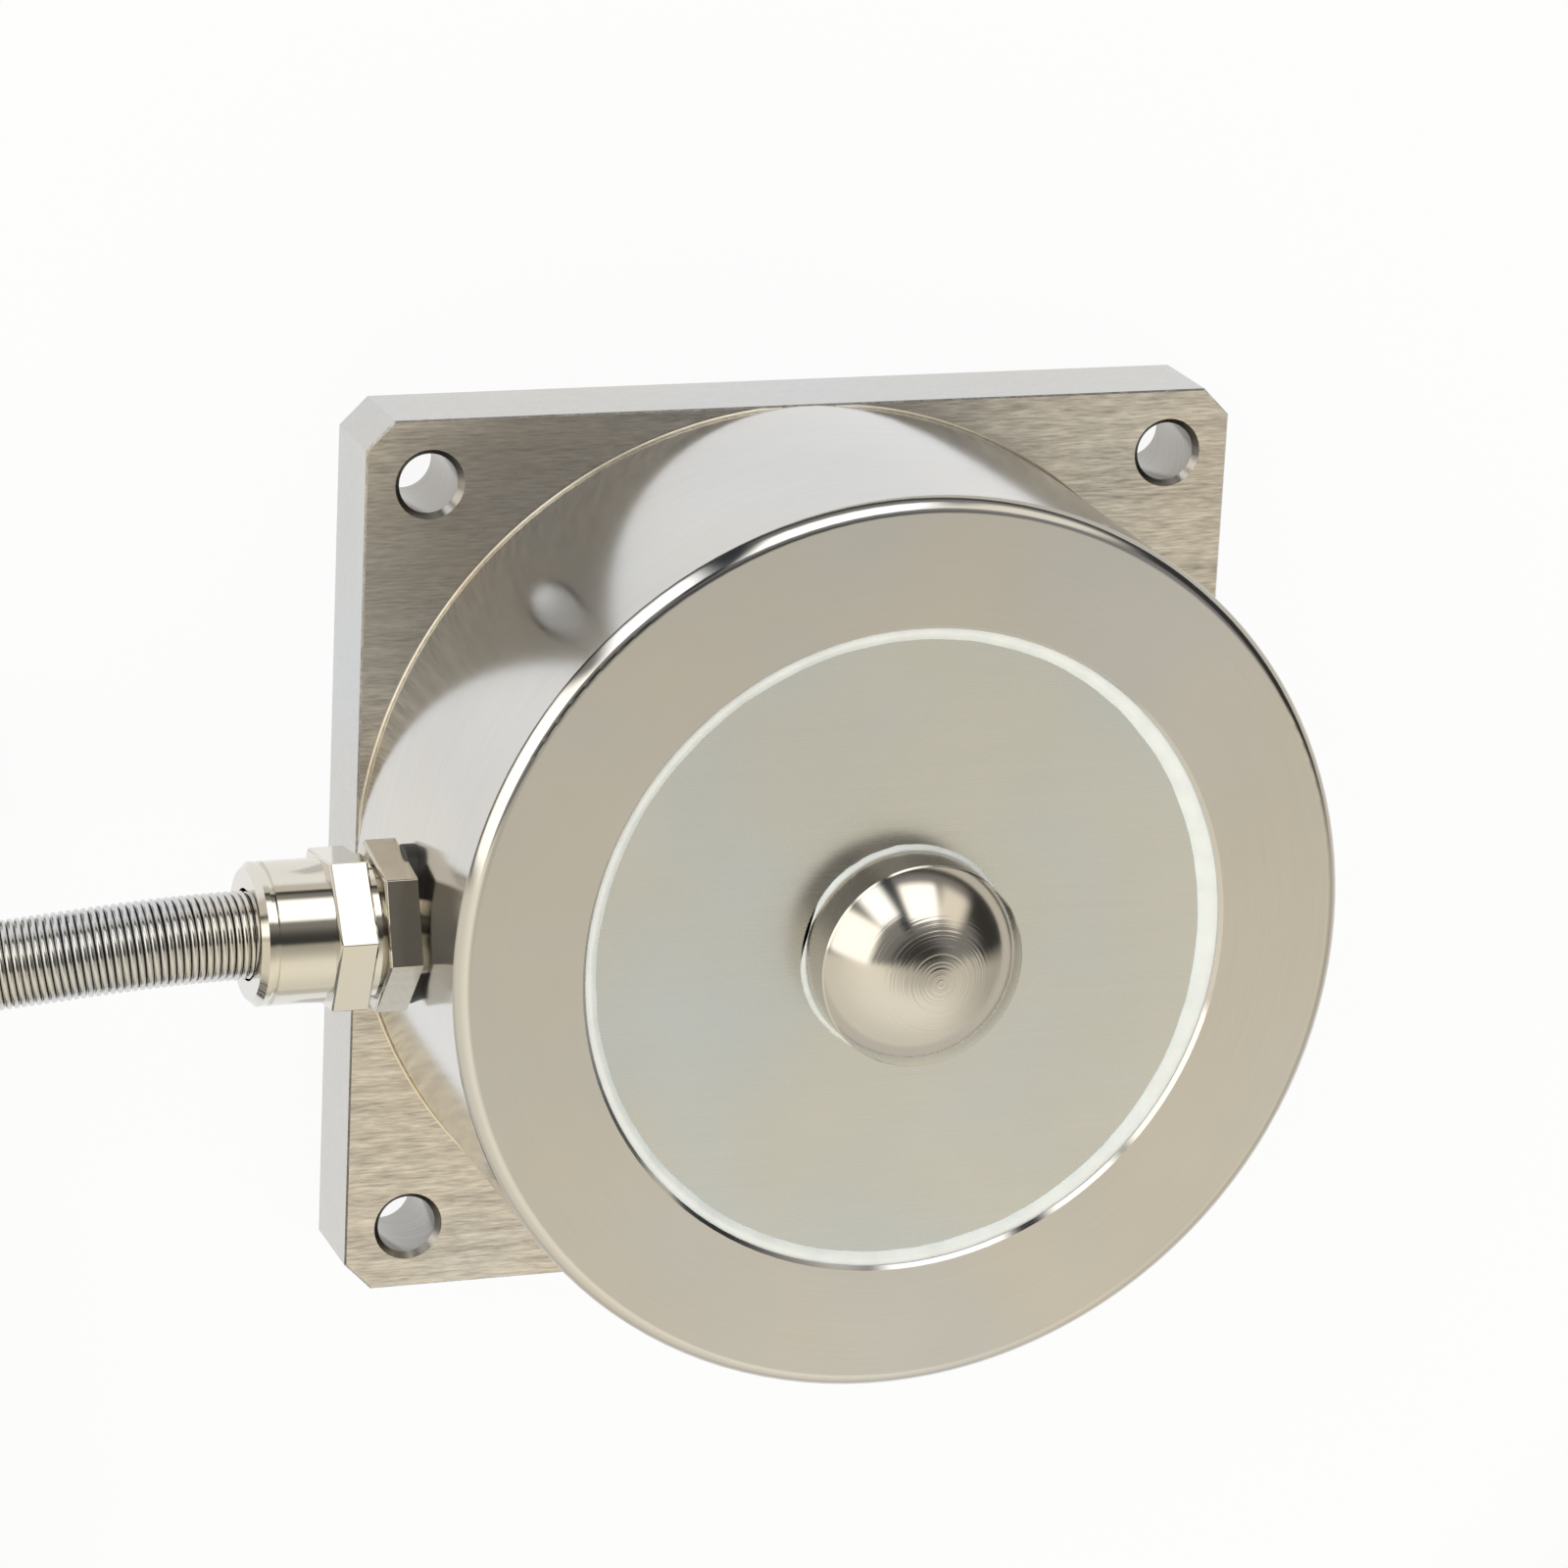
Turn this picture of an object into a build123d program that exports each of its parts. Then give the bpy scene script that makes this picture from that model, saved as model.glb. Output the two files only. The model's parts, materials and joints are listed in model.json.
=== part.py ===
"""Compression load cell: square flanged base, round drum, domed load button, armoured lead.

Millimetres. The origin is the centre of the base's underside, +Z runs up the load axis,
and the lead leaves through the drum's side towards -X.
"""
import os
from math import pi, radians, sqrt, tan

from build123d import *

os.makedirs("parts", exist_ok=True)

# Square base flange
plate_side = 100.0
plate_thickness = 11.3
plate_corner = 3.1
plate_edge_break = 0.2
hole_edge_distance = 7.2
hole_diameter = 6.6
hole_chamfer = 0.6

# Round drum on the flange, one piece with it
drum_diameter = 99.8
drum_height = 39.3
rim_fillet = 1.6
junction_fillet = 0.35

# Covers, each a disc in a shallow recess with a sealant bead round it
cover_recess_diameter = 71.6
cover_clearance = 0.3
recess_chamfer = 0.4
top_cover_thickness = 1.5
top_cover_sink = 1.1
bottom_cover_thickness = 1.2
bottom_cover_sink = 0.6
bead_width = 1.6
bead_below_rim = 0.2
bead_belly_place = 0.9
bead_belly_height = 0.45
bottom_bead_width = 1.2
bottom_bead_height = 0.4

# Sensing wheel inside the drum: hub, four spokes and the cavity round them
cover_seat_width = 2.8
hub_diameter = 32.0
hub_head_room = 6.0
hub_foot_room = 1.0
spoke_count = 4
spoke_first_angle = 45.0
spoke_thickness = 9.0
spoke_height = 22.0
spoke_root_radius = 3.0

# Load button, screwed into the hub
button_diameter = 22.5
button_stand = 5.4
dome_height = 5.8
shank_diameter = 12.0
shank_length = 18.0
shank_clearance = 0.05
shank_bore_spare = 1.5
button_hole_clearance = 0.3
button_bead_width = 0.7
button_bead_height = 0.7
button_bead_curve = 0.9

# Shear gauges on the sides of the spokes
gauge_end_gap = 1.5
gauge_height = 6.0
gauge_thickness = 0.15
gauge_tab_length = 1.6
gauge_tab_height = 1.0
gauge_tab_thickness = 0.8
gauge_wire_diameter = 0.8

# Gauge harness, terminal board and its trimming resistors
harness_wall_gap = 4.4
harness_thickness = 1.2
harness_edge_radius = 0.4
board_side_margin = 0.2
board_thickness = 1.0
board_hub_gap = 0.8
board_harness_gap = 2.6
resistor_count = 3
resistor_length = 3.2
resistor_width = 1.5
resistor_height = 0.6
core_diameter = 1.0
core_spread = 1.7
core_straight = 3.0
core_bend = 1.2
core_lift = 2.2
core_low_place = 13.0
core_low_depth = 4.5
core_high_place = 8.5

# Cable gland in the drum's side
gland_hex = 16.0
gland_turn = 20.0
gland_hex_length = 3.6
gland_edge_break = 0.25
gland_corner_radius = 0.25
gland_thread_diameter = 12.0
gland_thread_length = 10.0
gland_thread_clearance = 0.05
gasket_diameter = 17.8
gasket_thickness = 0.5
neck_diameter = 13.0
neck_length = 5.4
seal_diameter = 10.4
seal_length = 4.0
clamp_ring_length = 2.0
clamp_ring_clearance = 0.2
cable_bore_diameter = 7.0
cap_turn = 37.5
cap_gap = 0.5
cap_collar_diameter = 15.6
cap_collar_length = 0.7
cap_hex_length = 4.2
barrel_diameter = 15.4
barrel_length = 8.0
barrel_groove_width = 0.6
barrel_groove_depth = 0.35
barrel_groove_place = 1.3
barrel_bevel = 0.7
mouth_clearance = 0.2
neck_clearance = 0.1

# Armoured lead and the cable inside it; each arc takes a share of its shorter run
arc_share = 0.45
lead_diameter = 9.5
cable_diameter = 5.0
cable_clearance = 0.1
cable_end_gap = 1.0

# Coil of the lead that is put away on the floor
coil_mean_diameter = 115.0
coil_turns_wide = 3
coil_turns_high = 3
coil_tail = 36.5
coil_corner = 4.0
coil_slack = 0.2
coil_centre_x = -166.0
coil_entry_y = -4.5
tie_angles = (150.0, 240.0, 330.0)
tie_width = 3.6
tie_thickness = 0.8
tie_clearance = 0.1
tie_head_length = 5.0
tie_head_width = 4.5
tie_head_height = 3.2
tie_tail_length = 6.0
tie_tail_lift = 1.2

# Plug on the far end
plug_nut_step = 0.2
plug_nut_length = 10.0
plug_nut_bevel = 0.6
plug_shell_diameter = 13.0
plug_shell_length = 20.0
plug_ring_start = 21.0
plug_ring_length = 15.0
plug_ring_wall = 0.9
plug_ring_bevel = 0.4
plug_wall = 1.2
plug_entry = 6.0
plug_clearance = 0.1
insert_face_depth = 4.0
pin_count = 4
pin_first_angle = 45.0
pin_diameter = 1.0
pin_circle = 4.6
pin_length = 5.0

# Places on the flange, the drum, its covers and its sealant beads
hole_pitch = plate_side - 2 * hole_edge_distance
drum_radius = drum_diameter / 2
rim_z = plate_thickness + drum_height
junction_top_z = plate_thickness + junction_fillet
recess_radius = cover_recess_diameter / 2
cover_radius = recess_radius - cover_clearance
top_cover_z = rim_z - top_cover_sink
top_seat_z = top_cover_z - top_cover_thickness
bottom_seat_z = bottom_cover_sink + bottom_cover_thickness
bead_top_z = rim_z - recess_chamfer - bead_below_rim

# Places on the sensing wheel, its gauges, harness and board
cavity_radius = recess_radius - cover_seat_width
hub_radius = hub_diameter / 2
hub_top_z = top_seat_z - hub_head_room
hub_bottom_z = bottom_seat_z + hub_foot_room
spoke_mid_z = (hub_top_z + hub_bottom_z) / 2
spoke_top_z = spoke_mid_z + spoke_height / 2
spoke_mid_radius = (hub_radius + cavity_radius) / 2
spoke_angles = [spoke_first_angle + 360 / spoke_count * index for index in range(spoke_count)]
gauge_length = cavity_radius - hub_radius - 2 * (spoke_root_radius + gauge_end_gap)
harness_radius = cavity_radius - harness_wall_gap - harness_thickness / 2
board_inner = hub_radius + board_hub_gap
board_length = harness_radius - harness_thickness / 2 - board_harness_gap - board_inner

# Places on the load button
button_radius = button_diameter / 2
dome_edge_z = top_cover_z + button_stand
dome_top_z = dome_edge_z + dome_height
dome_radius = (button_radius**2 + dome_height**2) / (2 * dome_height)
shank_radius = shank_diameter / 2
shank_end_z = hub_top_z - shank_length
bore_radius = shank_radius + shank_clearance
button_bead_radius = button_radius + button_bead_width
button_bead_z = top_cover_z + button_bead_height

# Places on the gland, outwards from the drum's side
gland_z = plate_thickness + drum_height / 2
gland_plane = Plane(origin=(-drum_radius, 0, gland_z), x_dir=(0, 1, 0), z_dir=(-1, 0, 0))
gasket_reach = drum_radius - sqrt(drum_radius**2 - (gasket_diameter / 2) ** 2)
hex_end = gasket_thickness + gland_hex_length
neck_end = hex_end + neck_length
clamp_end = neck_end + clamp_ring_length
cap_start = hex_end + cap_gap
cap_hex_start = cap_start + cap_collar_length
barrel_start = cap_hex_start + cap_hex_length
barrel_end = barrel_start + barrel_length

# The lead's route from the gland to the coil, and from the coil to the plug
lead_radius = lead_diameter / 2
lead_start_x = -drum_radius - clamp_end
coil_lift = tie_thickness + tie_clearance
coil_height = lead_diameter * coil_turns_high + 2 * coil_slack
layer_low_z = coil_lift + coil_slack + lead_radius
layer_high_z = layer_low_z + lead_diameter * (coil_turns_high - 1)
coil_half_width = lead_diameter * (coil_turns_wide - 1) / 2
coil_outer_turn = coil_mean_diameter / 2 + coil_half_width
coil_outer = coil_outer_turn + lead_radius + coil_slack
coil_inner = coil_mean_diameter / 2 - coil_half_width - lead_radius - coil_slack
coil_centre_y = coil_entry_y - coil_outer_turn
plug_shell_radius = plug_shell_diameter / 2
plug_nut_radius = plug_shell_radius + plug_nut_step
plug_ring_bore = plug_shell_radius + plug_clearance
plug_axis_z = plug_ring_bore + plug_ring_wall
lead_route = [
    (lead_start_x, 0.0, gland_z),
    (-72.2, 0.0, gland_z),
    (-82.8, -1.05, 30.0),
    (-92.9, -2.7, 28.0),
    (-102.9, -3.9, 26.2),
    (-113.0, coil_entry_y, layer_high_z),
    (coil_centre_x + coil_tail, coil_entry_y, layer_high_z),
]
tail_x = coil_centre_x + coil_outer_turn
tail_route = [
    (tail_x, coil_centre_y + coil_tail, layer_low_z),
    (tail_x, -29.5, layer_low_z),
    (tail_x, -22.0, 6.5),
    (tail_x, -14.5, plug_axis_z),
    (tail_x, -9.0, plug_axis_z),
]


def finish(builder, name):
    """Label a finished piece and write it to its own file."""
    builder.part.label = name
    export_step(builder.part, f"parts/{name}.step")


def arc_radii(route):
    """Radius of the arc at each inner corner of a route, as large as its two runs allow."""
    points = [Vector(*point) for point in route]
    radii = []
    for before, corner, after in zip(points, points[1:], points[2:]):
        arriving = corner - before
        leaving = after - corner
        half_turn = radians(arriving.get_angle(leaving)) / 2
        shorter = min(arriving.length, leaving.length)
        radii.append(arc_share * shorter / tan(half_turn))
    return radii


def spoke_plane(angle, side):
    """Plane on a spoke's side face: local x runs up, local z leaves the face."""
    outward = Vector(1, 0, 0).rotate(Axis.Z, angle)
    across = Vector(0, side, 0).rotate(Axis.Z, angle)
    middle = outward * spoke_mid_radius + across * (spoke_thickness / 2)
    return Plane(origin=middle + Vector(0, 0, spoke_mid_z), x_dir=(0, 0, 1), z_dir=across)


# Small fillet between drum and flange, trimmed where the drum reaches the flange's sides
with BuildPart() as junction:
    with BuildSketch(Plane.XZ):
        with BuildLine():
            Polyline(
                (drum_radius, junction_top_z),
                (drum_radius - rim_fillet, junction_top_z),
                (drum_radius - rim_fillet, plate_thickness),
                (drum_radius + junction_fillet, plate_thickness),
            )
            RadiusArc(
                (drum_radius + junction_fillet, plate_thickness),
                (drum_radius, junction_top_z),
                junction_fillet,
            )
        make_face()
    revolve(axis=Axis.Z)
    with BuildSketch(Plane.XY.offset(plate_thickness)):
        Rectangle(plate_side - 2 * plate_edge_break, plate_side - 2 * plate_edge_break)
    extrude(amount=junction_fillet, mode=Mode.INTERSECT)

# One machined piece: flange, drum, hub and spokes
with BuildPart() as load_cell_body:
    with BuildSketch():
        Rectangle(plate_side, plate_side)
        chamfer(vertices(), plate_corner)
    extrude(amount=plate_thickness)
    chamfer(faces().sort_by(Axis.Z)[-1].edges(), plate_edge_break)
    chamfer(faces().sort_by(Axis.Z)[0].edges(), plate_edge_break)
    with BuildSketch(Plane.XY.offset(plate_thickness)):
        Circle(drum_radius)
    extrude(amount=drum_height)
    fillet(faces().sort_by(Axis.Z)[-1].edges(), rim_fillet)
    add(junction.part)
    # recesses for the two covers
    with BuildSketch(Plane.XY.offset(rim_z)):
        Circle(recess_radius)
    extrude(amount=-(top_cover_sink + top_cover_thickness), mode=Mode.SUBTRACT)
    rim_face = faces().filter_by(Plane.XY).sort_by(Axis.Z)[-1]
    chamfer(rim_face.edges().sort_by(SortBy.RADIUS)[0], recess_chamfer)
    with BuildSketch():
        Circle(recess_radius)
    extrude(amount=bottom_seat_z, mode=Mode.SUBTRACT)
    # cavity above and below the spokes, round the hub
    with BuildSketch(Plane.XY.offset(top_seat_z)):
        Circle(cavity_radius)
    extrude(amount=-hub_head_room, mode=Mode.SUBTRACT)
    with BuildSketch(Plane.XY.offset(bottom_seat_z)):
        Circle(cavity_radius)
    extrude(amount=hub_foot_room, mode=Mode.SUBTRACT)
    with BuildSketch(Plane.XY.offset(hub_top_z)):
        Circle(cavity_radius)
        Circle(hub_radius, mode=Mode.SUBTRACT)
    extrude(amount=spoke_top_z - hub_top_z, mode=Mode.SUBTRACT)
    with BuildSketch(Plane.XY.offset(hub_bottom_z)):
        Circle(cavity_radius)
        Circle(hub_radius, mode=Mode.SUBTRACT)
    extrude(amount=spoke_mid_z - spoke_height / 2 - hub_bottom_z, mode=Mode.SUBTRACT)
    # windows between the spokes
    with BuildSketch(Plane.XY.offset(spoke_top_z)):
        Circle(cavity_radius)
        Circle(hub_radius, mode=Mode.SUBTRACT)
        with PolarLocations(cavity_radius / 2, spoke_count, start_angle=spoke_first_angle):
            Rectangle(cavity_radius + spoke_thickness, spoke_thickness, mode=Mode.SUBTRACT)
        fillet(vertices(), spoke_root_radius)
    extrude(amount=-spoke_height, mode=Mode.SUBTRACT)
    # threaded bore for the button
    with BuildSketch(Plane.XY.offset(hub_top_z)):
        Circle(bore_radius)
    extrude(amount=-(shank_length + shank_bore_spare), mode=Mode.SUBTRACT)
    # mounting holes with a chamfered mouth
    with Locations(Plane.XY.offset(plate_thickness)):
        with GridLocations(hole_pitch, hole_pitch, 2, 2):
            CounterSinkHole(hole_diameter / 2, hole_diameter / 2 + hole_chamfer, depth=plate_thickness)
    # gland bore through the drum's wall
    with BuildSketch(gland_plane):
        Circle(gland_thread_diameter / 2 + gland_thread_clearance)
    extrude(amount=-gland_thread_length, mode=Mode.SUBTRACT)
    with BuildSketch(gland_plane):
        Circle(cable_bore_diameter / 2)
    extrude(amount=-(drum_radius - cavity_radius + spoke_root_radius), mode=Mode.SUBTRACT)
finish(load_cell_body, "load_cell_body")

# Load button: threaded shank, round stem and spherical dome, turned in one piece
with BuildPart() as load_button:
    with BuildSketch(Plane.XZ):
        with BuildLine():
            Polyline(
                (0, dome_top_z),
                (0, shank_end_z),
                (shank_radius, shank_end_z),
                (shank_radius, hub_top_z),
                (button_radius, hub_top_z),
                (button_radius, dome_edge_z),
            )
            RadiusArc((button_radius, dome_edge_z), (0, dome_top_z), -dome_radius)
        make_face()
    revolve(axis=Axis.Z)
finish(load_button, "load_button")

# Top cover: thin disc with a hole that clears the button's stem
with BuildPart() as top_cover:
    with BuildSketch(Plane.XY.offset(top_seat_z)):
        Circle(cover_radius)
        Circle(button_radius + button_hole_clearance, mode=Mode.SUBTRACT)
    extrude(amount=top_cover_thickness)
finish(top_cover, "top_cover")

# Sealant laid in the corner between the top cover and the drum's recess
with BuildPart() as rim_sealant:
    with BuildSketch(Plane.XZ):
        with BuildLine():
            Polyline(
                (recess_radius, bead_top_z),
                (recess_radius, top_cover_z),
                (recess_radius - bead_width, top_cover_z),
            )
            ThreePointArc(
                (recess_radius - bead_width, top_cover_z),
                (recess_radius - bead_belly_place, top_cover_z + bead_belly_height),
                (recess_radius, bead_top_z),
            )
        make_face()
    revolve(axis=Axis.Z)
finish(rim_sealant, "rim_sealant")

# Sealant laid round the button's stem on the top cover
with BuildPart() as button_sealant:
    with BuildSketch(Plane.XZ):
        with BuildLine():
            Polyline(
                (button_radius, button_bead_z),
                (button_radius, top_cover_z),
                (button_bead_radius, top_cover_z),
            )
            RadiusArc((button_bead_radius, top_cover_z), (button_radius, button_bead_z), -button_bead_curve)
        make_face()
    revolve(axis=Axis.Z)
finish(button_sealant, "button_sealant")

# Bottom cover and its sealant, both above the base plane
with BuildPart() as bottom_cover:
    with BuildSketch(Plane.XY.offset(bottom_cover_sink)):
        Circle(cover_radius)
    extrude(amount=bottom_cover_thickness)
finish(bottom_cover, "bottom_cover")

with BuildPart() as bottom_sealant:
    with BuildSketch(Plane.XZ):
        with BuildLine():
            Polyline(
                (recess_radius, bottom_cover_sink),
                (recess_radius, bottom_cover_sink - bottom_bead_height),
                (recess_radius - bottom_bead_width, bottom_cover_sink),
                close=True,
            )
        make_face()
    revolve(axis=Axis.Z)
finish(bottom_sealant, "bottom_sealant")

# Eight shear gauges, one on each side of each spoke, with a solder tab at the top
gauge_seats = [(angle, side) for angle in spoke_angles for side in (1, -1)]
tab_across = spoke_thickness / 2 + gauge_thickness + gauge_wire_diameter / 2
tab_radius = sqrt(harness_radius**2 - tab_across**2)
tab_along = tab_radius - spoke_mid_radius
tab_up = (gauge_height - gauge_tab_height) / 2
for number, (angle, side) in enumerate(gauge_seats, start=1):
    face_plane = spoke_plane(angle, side)
    with BuildPart() as strain_gauge:
        with BuildSketch(face_plane):
            Rectangle(gauge_height, gauge_length)
        extrude(amount=gauge_thickness)
        with BuildSketch(face_plane.offset(gauge_thickness)):
            with Locations((tab_up, side * tab_along)):
                Rectangle(gauge_tab_height, gauge_tab_length)
        extrude(amount=gauge_tab_thickness)
    finish(strain_gauge, f"strain_gauge_{number}")

# Gauge harness: a laced ring lying on the spokes, with a wire down to each gauge's tab
board_spoke_angle = spoke_angles[1]
board_outward = Vector(1, 0, 0).rotate(Axis.Z, board_spoke_angle)
harness_z = spoke_top_z + harness_thickness / 2
tab_top_z = spoke_mid_z + gauge_height / 2
with BuildPart() as gauge_harness:
    with BuildSketch(Plane.XY.offset(spoke_top_z)):
        Circle(harness_radius + harness_thickness / 2)
        Circle(harness_radius - harness_thickness / 2, mode=Mode.SUBTRACT)
    extrude(amount=harness_thickness)
    fillet(edges(), harness_edge_radius)
    for angle, side in gauge_seats:
        drop = Vector(tab_radius, side * tab_across, harness_z).rotate(Axis.Z, angle)
        with BuildSketch(Plane(origin=drop)):
            Circle(gauge_wire_diameter / 2)
        extrude(amount=tab_top_z - harness_z)
    link_start = board_outward * harness_radius + Vector(0, 0, harness_z)
    with BuildSketch(Plane(origin=link_start, x_dir=(0, 0, 1), z_dir=-board_outward)):
        Circle(gauge_wire_diameter / 2)
    extrude(amount=harness_radius - board_inner - board_length)
finish(gauge_harness, "gauge_harness")

# Terminal board bonded on one spoke, with three trimming resistors on it
board_plane = Plane(
    origin=board_outward * (board_inner + board_length / 2) + Vector(0, 0, spoke_top_z),
    x_dir=board_outward,
    z_dir=(0, 0, 1),
)
with BuildPart() as terminal_board:
    with BuildSketch(board_plane):
        Rectangle(board_length, spoke_thickness - 2 * board_side_margin)
    extrude(amount=board_thickness)
finish(terminal_board, "terminal_board")

board_top = board_plane.offset(board_thickness)
for number in range(resistor_count):
    along = (number - (resistor_count - 1) / 2) * board_length / resistor_count
    with BuildPart() as trim_resistor:
        with BuildSketch(board_top):
            with Locations((along, -resistor_length / 2)):
                Rectangle(resistor_width, resistor_length)
        extrude(amount=resistor_height)
    finish(trim_resistor, f"trim_resistor_{number + 1}")

# Cable inside the armour: from the clamp ring through the gland into the cavity
cable_end_x = -(cavity_radius - cable_end_gap)
with BuildPart() as inner_cable:
    with BuildSketch(gland_plane.offset(clamp_end)):
        Circle(cable_diameter / 2)
    extrude(amount=lead_start_x - cable_end_x)
finish(inner_cable, "inner_cable")

# Four cores from the cable's end, up inside the harness ring and onto the terminal board
core_names = ("core_red", "core_black", "core_green", "core_white")
core_starts = ((-1, -1), (-1, 1), (1, 1), (1, -1))
pad_across = spoke_thickness / 2 - board_side_margin - core_diameter
core_over = board_thickness + core_lift
core_pitch = board_length / len(core_names)
for number, (name, (start_y, start_z)) in enumerate(zip(core_names, core_starts)):
    lane = (number - (len(core_names) - 1) / 2) * core_pitch
    leave = Vector(cable_end_x, start_y * core_spread / 2, gland_z + start_z * core_spread / 2)
    with BuildPart() as core:
        with BuildLine():
            FilletPolyline(
                leave,
                leave + Vector(core_straight, 0, 0),
                board_plane.from_local_coords(Vector(lane, core_low_place, -core_low_depth)),
                board_plane.from_local_coords(Vector(lane, core_high_place, core_over)),
                board_plane.from_local_coords(Vector(lane, pad_across, core_over)),
                board_plane.from_local_coords(Vector(lane, pad_across, board_thickness)),
                radius=core_bend,
            )
        with BuildSketch(Plane(origin=leave, x_dir=(0, 1, 0), z_dir=(1, 0, 0))):
            Circle(core_diameter / 2)
        sweep()
    finish(core, name)

# Gland: gasket on the drum's curved wall, body, seal, clamp ring and cap
with BuildPart() as gland_gasket:
    with BuildSketch(gland_plane.offset(gasket_thickness)):
        Circle(gasket_diameter / 2)
        Circle(gland_thread_diameter / 2 + gland_thread_clearance, mode=Mode.SUBTRACT)
    extrude(amount=-(gasket_thickness + gasket_reach))
    with BuildSketch(Plane.XY.offset(gland_z - gasket_diameter)):
        Circle(drum_radius)
    extrude(amount=2 * gasket_diameter, mode=Mode.SUBTRACT)
finish(gland_gasket, "gland_gasket")

with BuildPart() as gland_body:
    with BuildSketch(gland_plane.offset(gasket_thickness)):
        RegularPolygon(gland_hex / 2, 6, major_radius=False, rotation=gland_turn)
    extrude(amount=gland_hex_length)
    fillet(edges().filter_by(Axis.X), gland_corner_radius)
    chamfer(faces().sort_by(Axis.X)[0].edges(), gland_edge_break)
    with BuildSketch(gland_plane.offset(gasket_thickness)):
        Circle(gland_thread_diameter / 2)
    extrude(amount=-(gasket_thickness + gland_thread_length))
    with BuildSketch(gland_plane.offset(hex_end)):
        Circle(neck_diameter / 2)
    extrude(amount=neck_length)
    with BuildSketch(gland_plane.offset(neck_end)):
        Circle(cable_diameter / 2 + cable_clearance)
    extrude(amount=-(neck_end + gland_thread_length), mode=Mode.SUBTRACT)
    with BuildSketch(gland_plane.offset(neck_end)):
        Circle(seal_diameter / 2)
    extrude(amount=-seal_length, mode=Mode.SUBTRACT)
finish(gland_body, "gland_body")

with BuildPart() as gland_seal:
    with BuildSketch(gland_plane.offset(neck_end)):
        Circle(seal_diameter / 2)
        Circle(cable_diameter / 2, mode=Mode.SUBTRACT)
    extrude(amount=-seal_length)
finish(gland_seal, "gland_seal")

cap_bore_radius = neck_diameter / 2 + neck_clearance
with BuildPart() as clamp_ring:
    with BuildSketch(gland_plane.offset(neck_end)):
        Circle(cap_bore_radius - clamp_ring_clearance)
        Circle(cable_diameter / 2 + cable_clearance, mode=Mode.SUBTRACT)
    extrude(amount=clamp_ring_length)
finish(clamp_ring, "clamp_ring")

with BuildPart() as gland_cap:
    with BuildSketch(gland_plane.offset(cap_hex_start)):
        RegularPolygon(gland_hex / 2, 6, major_radius=False, rotation=cap_turn)
    extrude(amount=cap_hex_length)
    fillet(edges().filter_by(Axis.X), gland_corner_radius)
    chamfer(edges().group_by(Axis.X)[0] + edges().group_by(Axis.X)[-1], gland_edge_break)
    with BuildSketch(gland_plane.offset(cap_start)):
        Circle(cap_collar_diameter / 2)
    extrude(amount=cap_collar_length)
    with BuildSketch(gland_plane.offset(barrel_start)):
        Circle(barrel_diameter / 2)
    extrude(amount=barrel_length)
    chamfer(faces().sort_by(Axis.X)[0].edges(), barrel_bevel)
    with BuildSketch(gland_plane.offset(barrel_end - barrel_groove_place)):
        Circle(barrel_diameter / 2)
        Circle(barrel_diameter / 2 - barrel_groove_depth, mode=Mode.SUBTRACT)
    extrude(amount=-barrel_groove_width, mode=Mode.SUBTRACT)
    with BuildSketch(gland_plane.offset(cap_start)):
        Circle(cap_bore_radius)
    extrude(amount=clamp_end - cap_start, mode=Mode.SUBTRACT)
    with BuildSketch(gland_plane.offset(barrel_end)):
        Circle(lead_radius + mouth_clearance)
    extrude(amount=clamp_end - barrel_end, mode=Mode.SUBTRACT)
finish(gland_cap, "gland_cap")

# Armoured lead: one tube from the gland to the coil, one from the coil to the plug
for name, route in (("armoured_lead", lead_route), ("lead_tail", tail_route)):
    radii = arc_radii(route)
    start_way = Vector(*route[1]) - Vector(*route[0])
    with BuildPart() as lead:
        with BuildLine() as lead_line:
            FilletPolyline(*route, radius=radii)
        with BuildSketch(Plane(origin=route[0], x_dir=(0, 0, 1), z_dir=start_way)):
            Circle(lead_radius)
        sweep()
    finish(lead, name)
    length = sum(edge.length for edge in lead_line.edges())
    share = lead.part.volume / (length * pi * lead_radius**2)
    print(name, "radii", [round(radius, 1) for radius in radii], "length", round(length, 1))
    print(name, "tube volume as a share of section times length", round(share, 5))

# Coil: the outer shape of the turns, with a straight tail where each tube meets it
with BuildPart() as lead_coil:
    with BuildSketch(Plane(origin=(coil_centre_x, coil_centre_y, coil_lift))):
        Circle(coil_outer)
        Circle(coil_inner, mode=Mode.SUBTRACT)
    extrude(amount=coil_height)
    fillet(edges().filter_by(GeomType.CIRCLE), coil_corner)
    entry_plane = Plane(origin=(coil_centre_x, coil_entry_y, layer_high_z), x_dir=(0, 0, 1), z_dir=(1, 0, 0))
    exit_plane = Plane(origin=(tail_x, coil_centre_y, layer_low_z), x_dir=(0, 0, 1), z_dir=(0, 1, 0))
    for tail_plane in (entry_plane, exit_plane):
        with BuildSketch(tail_plane):
            Circle(lead_radius)
        extrude(amount=coil_tail)
finish(lead_coil, "lead_coil")

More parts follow.
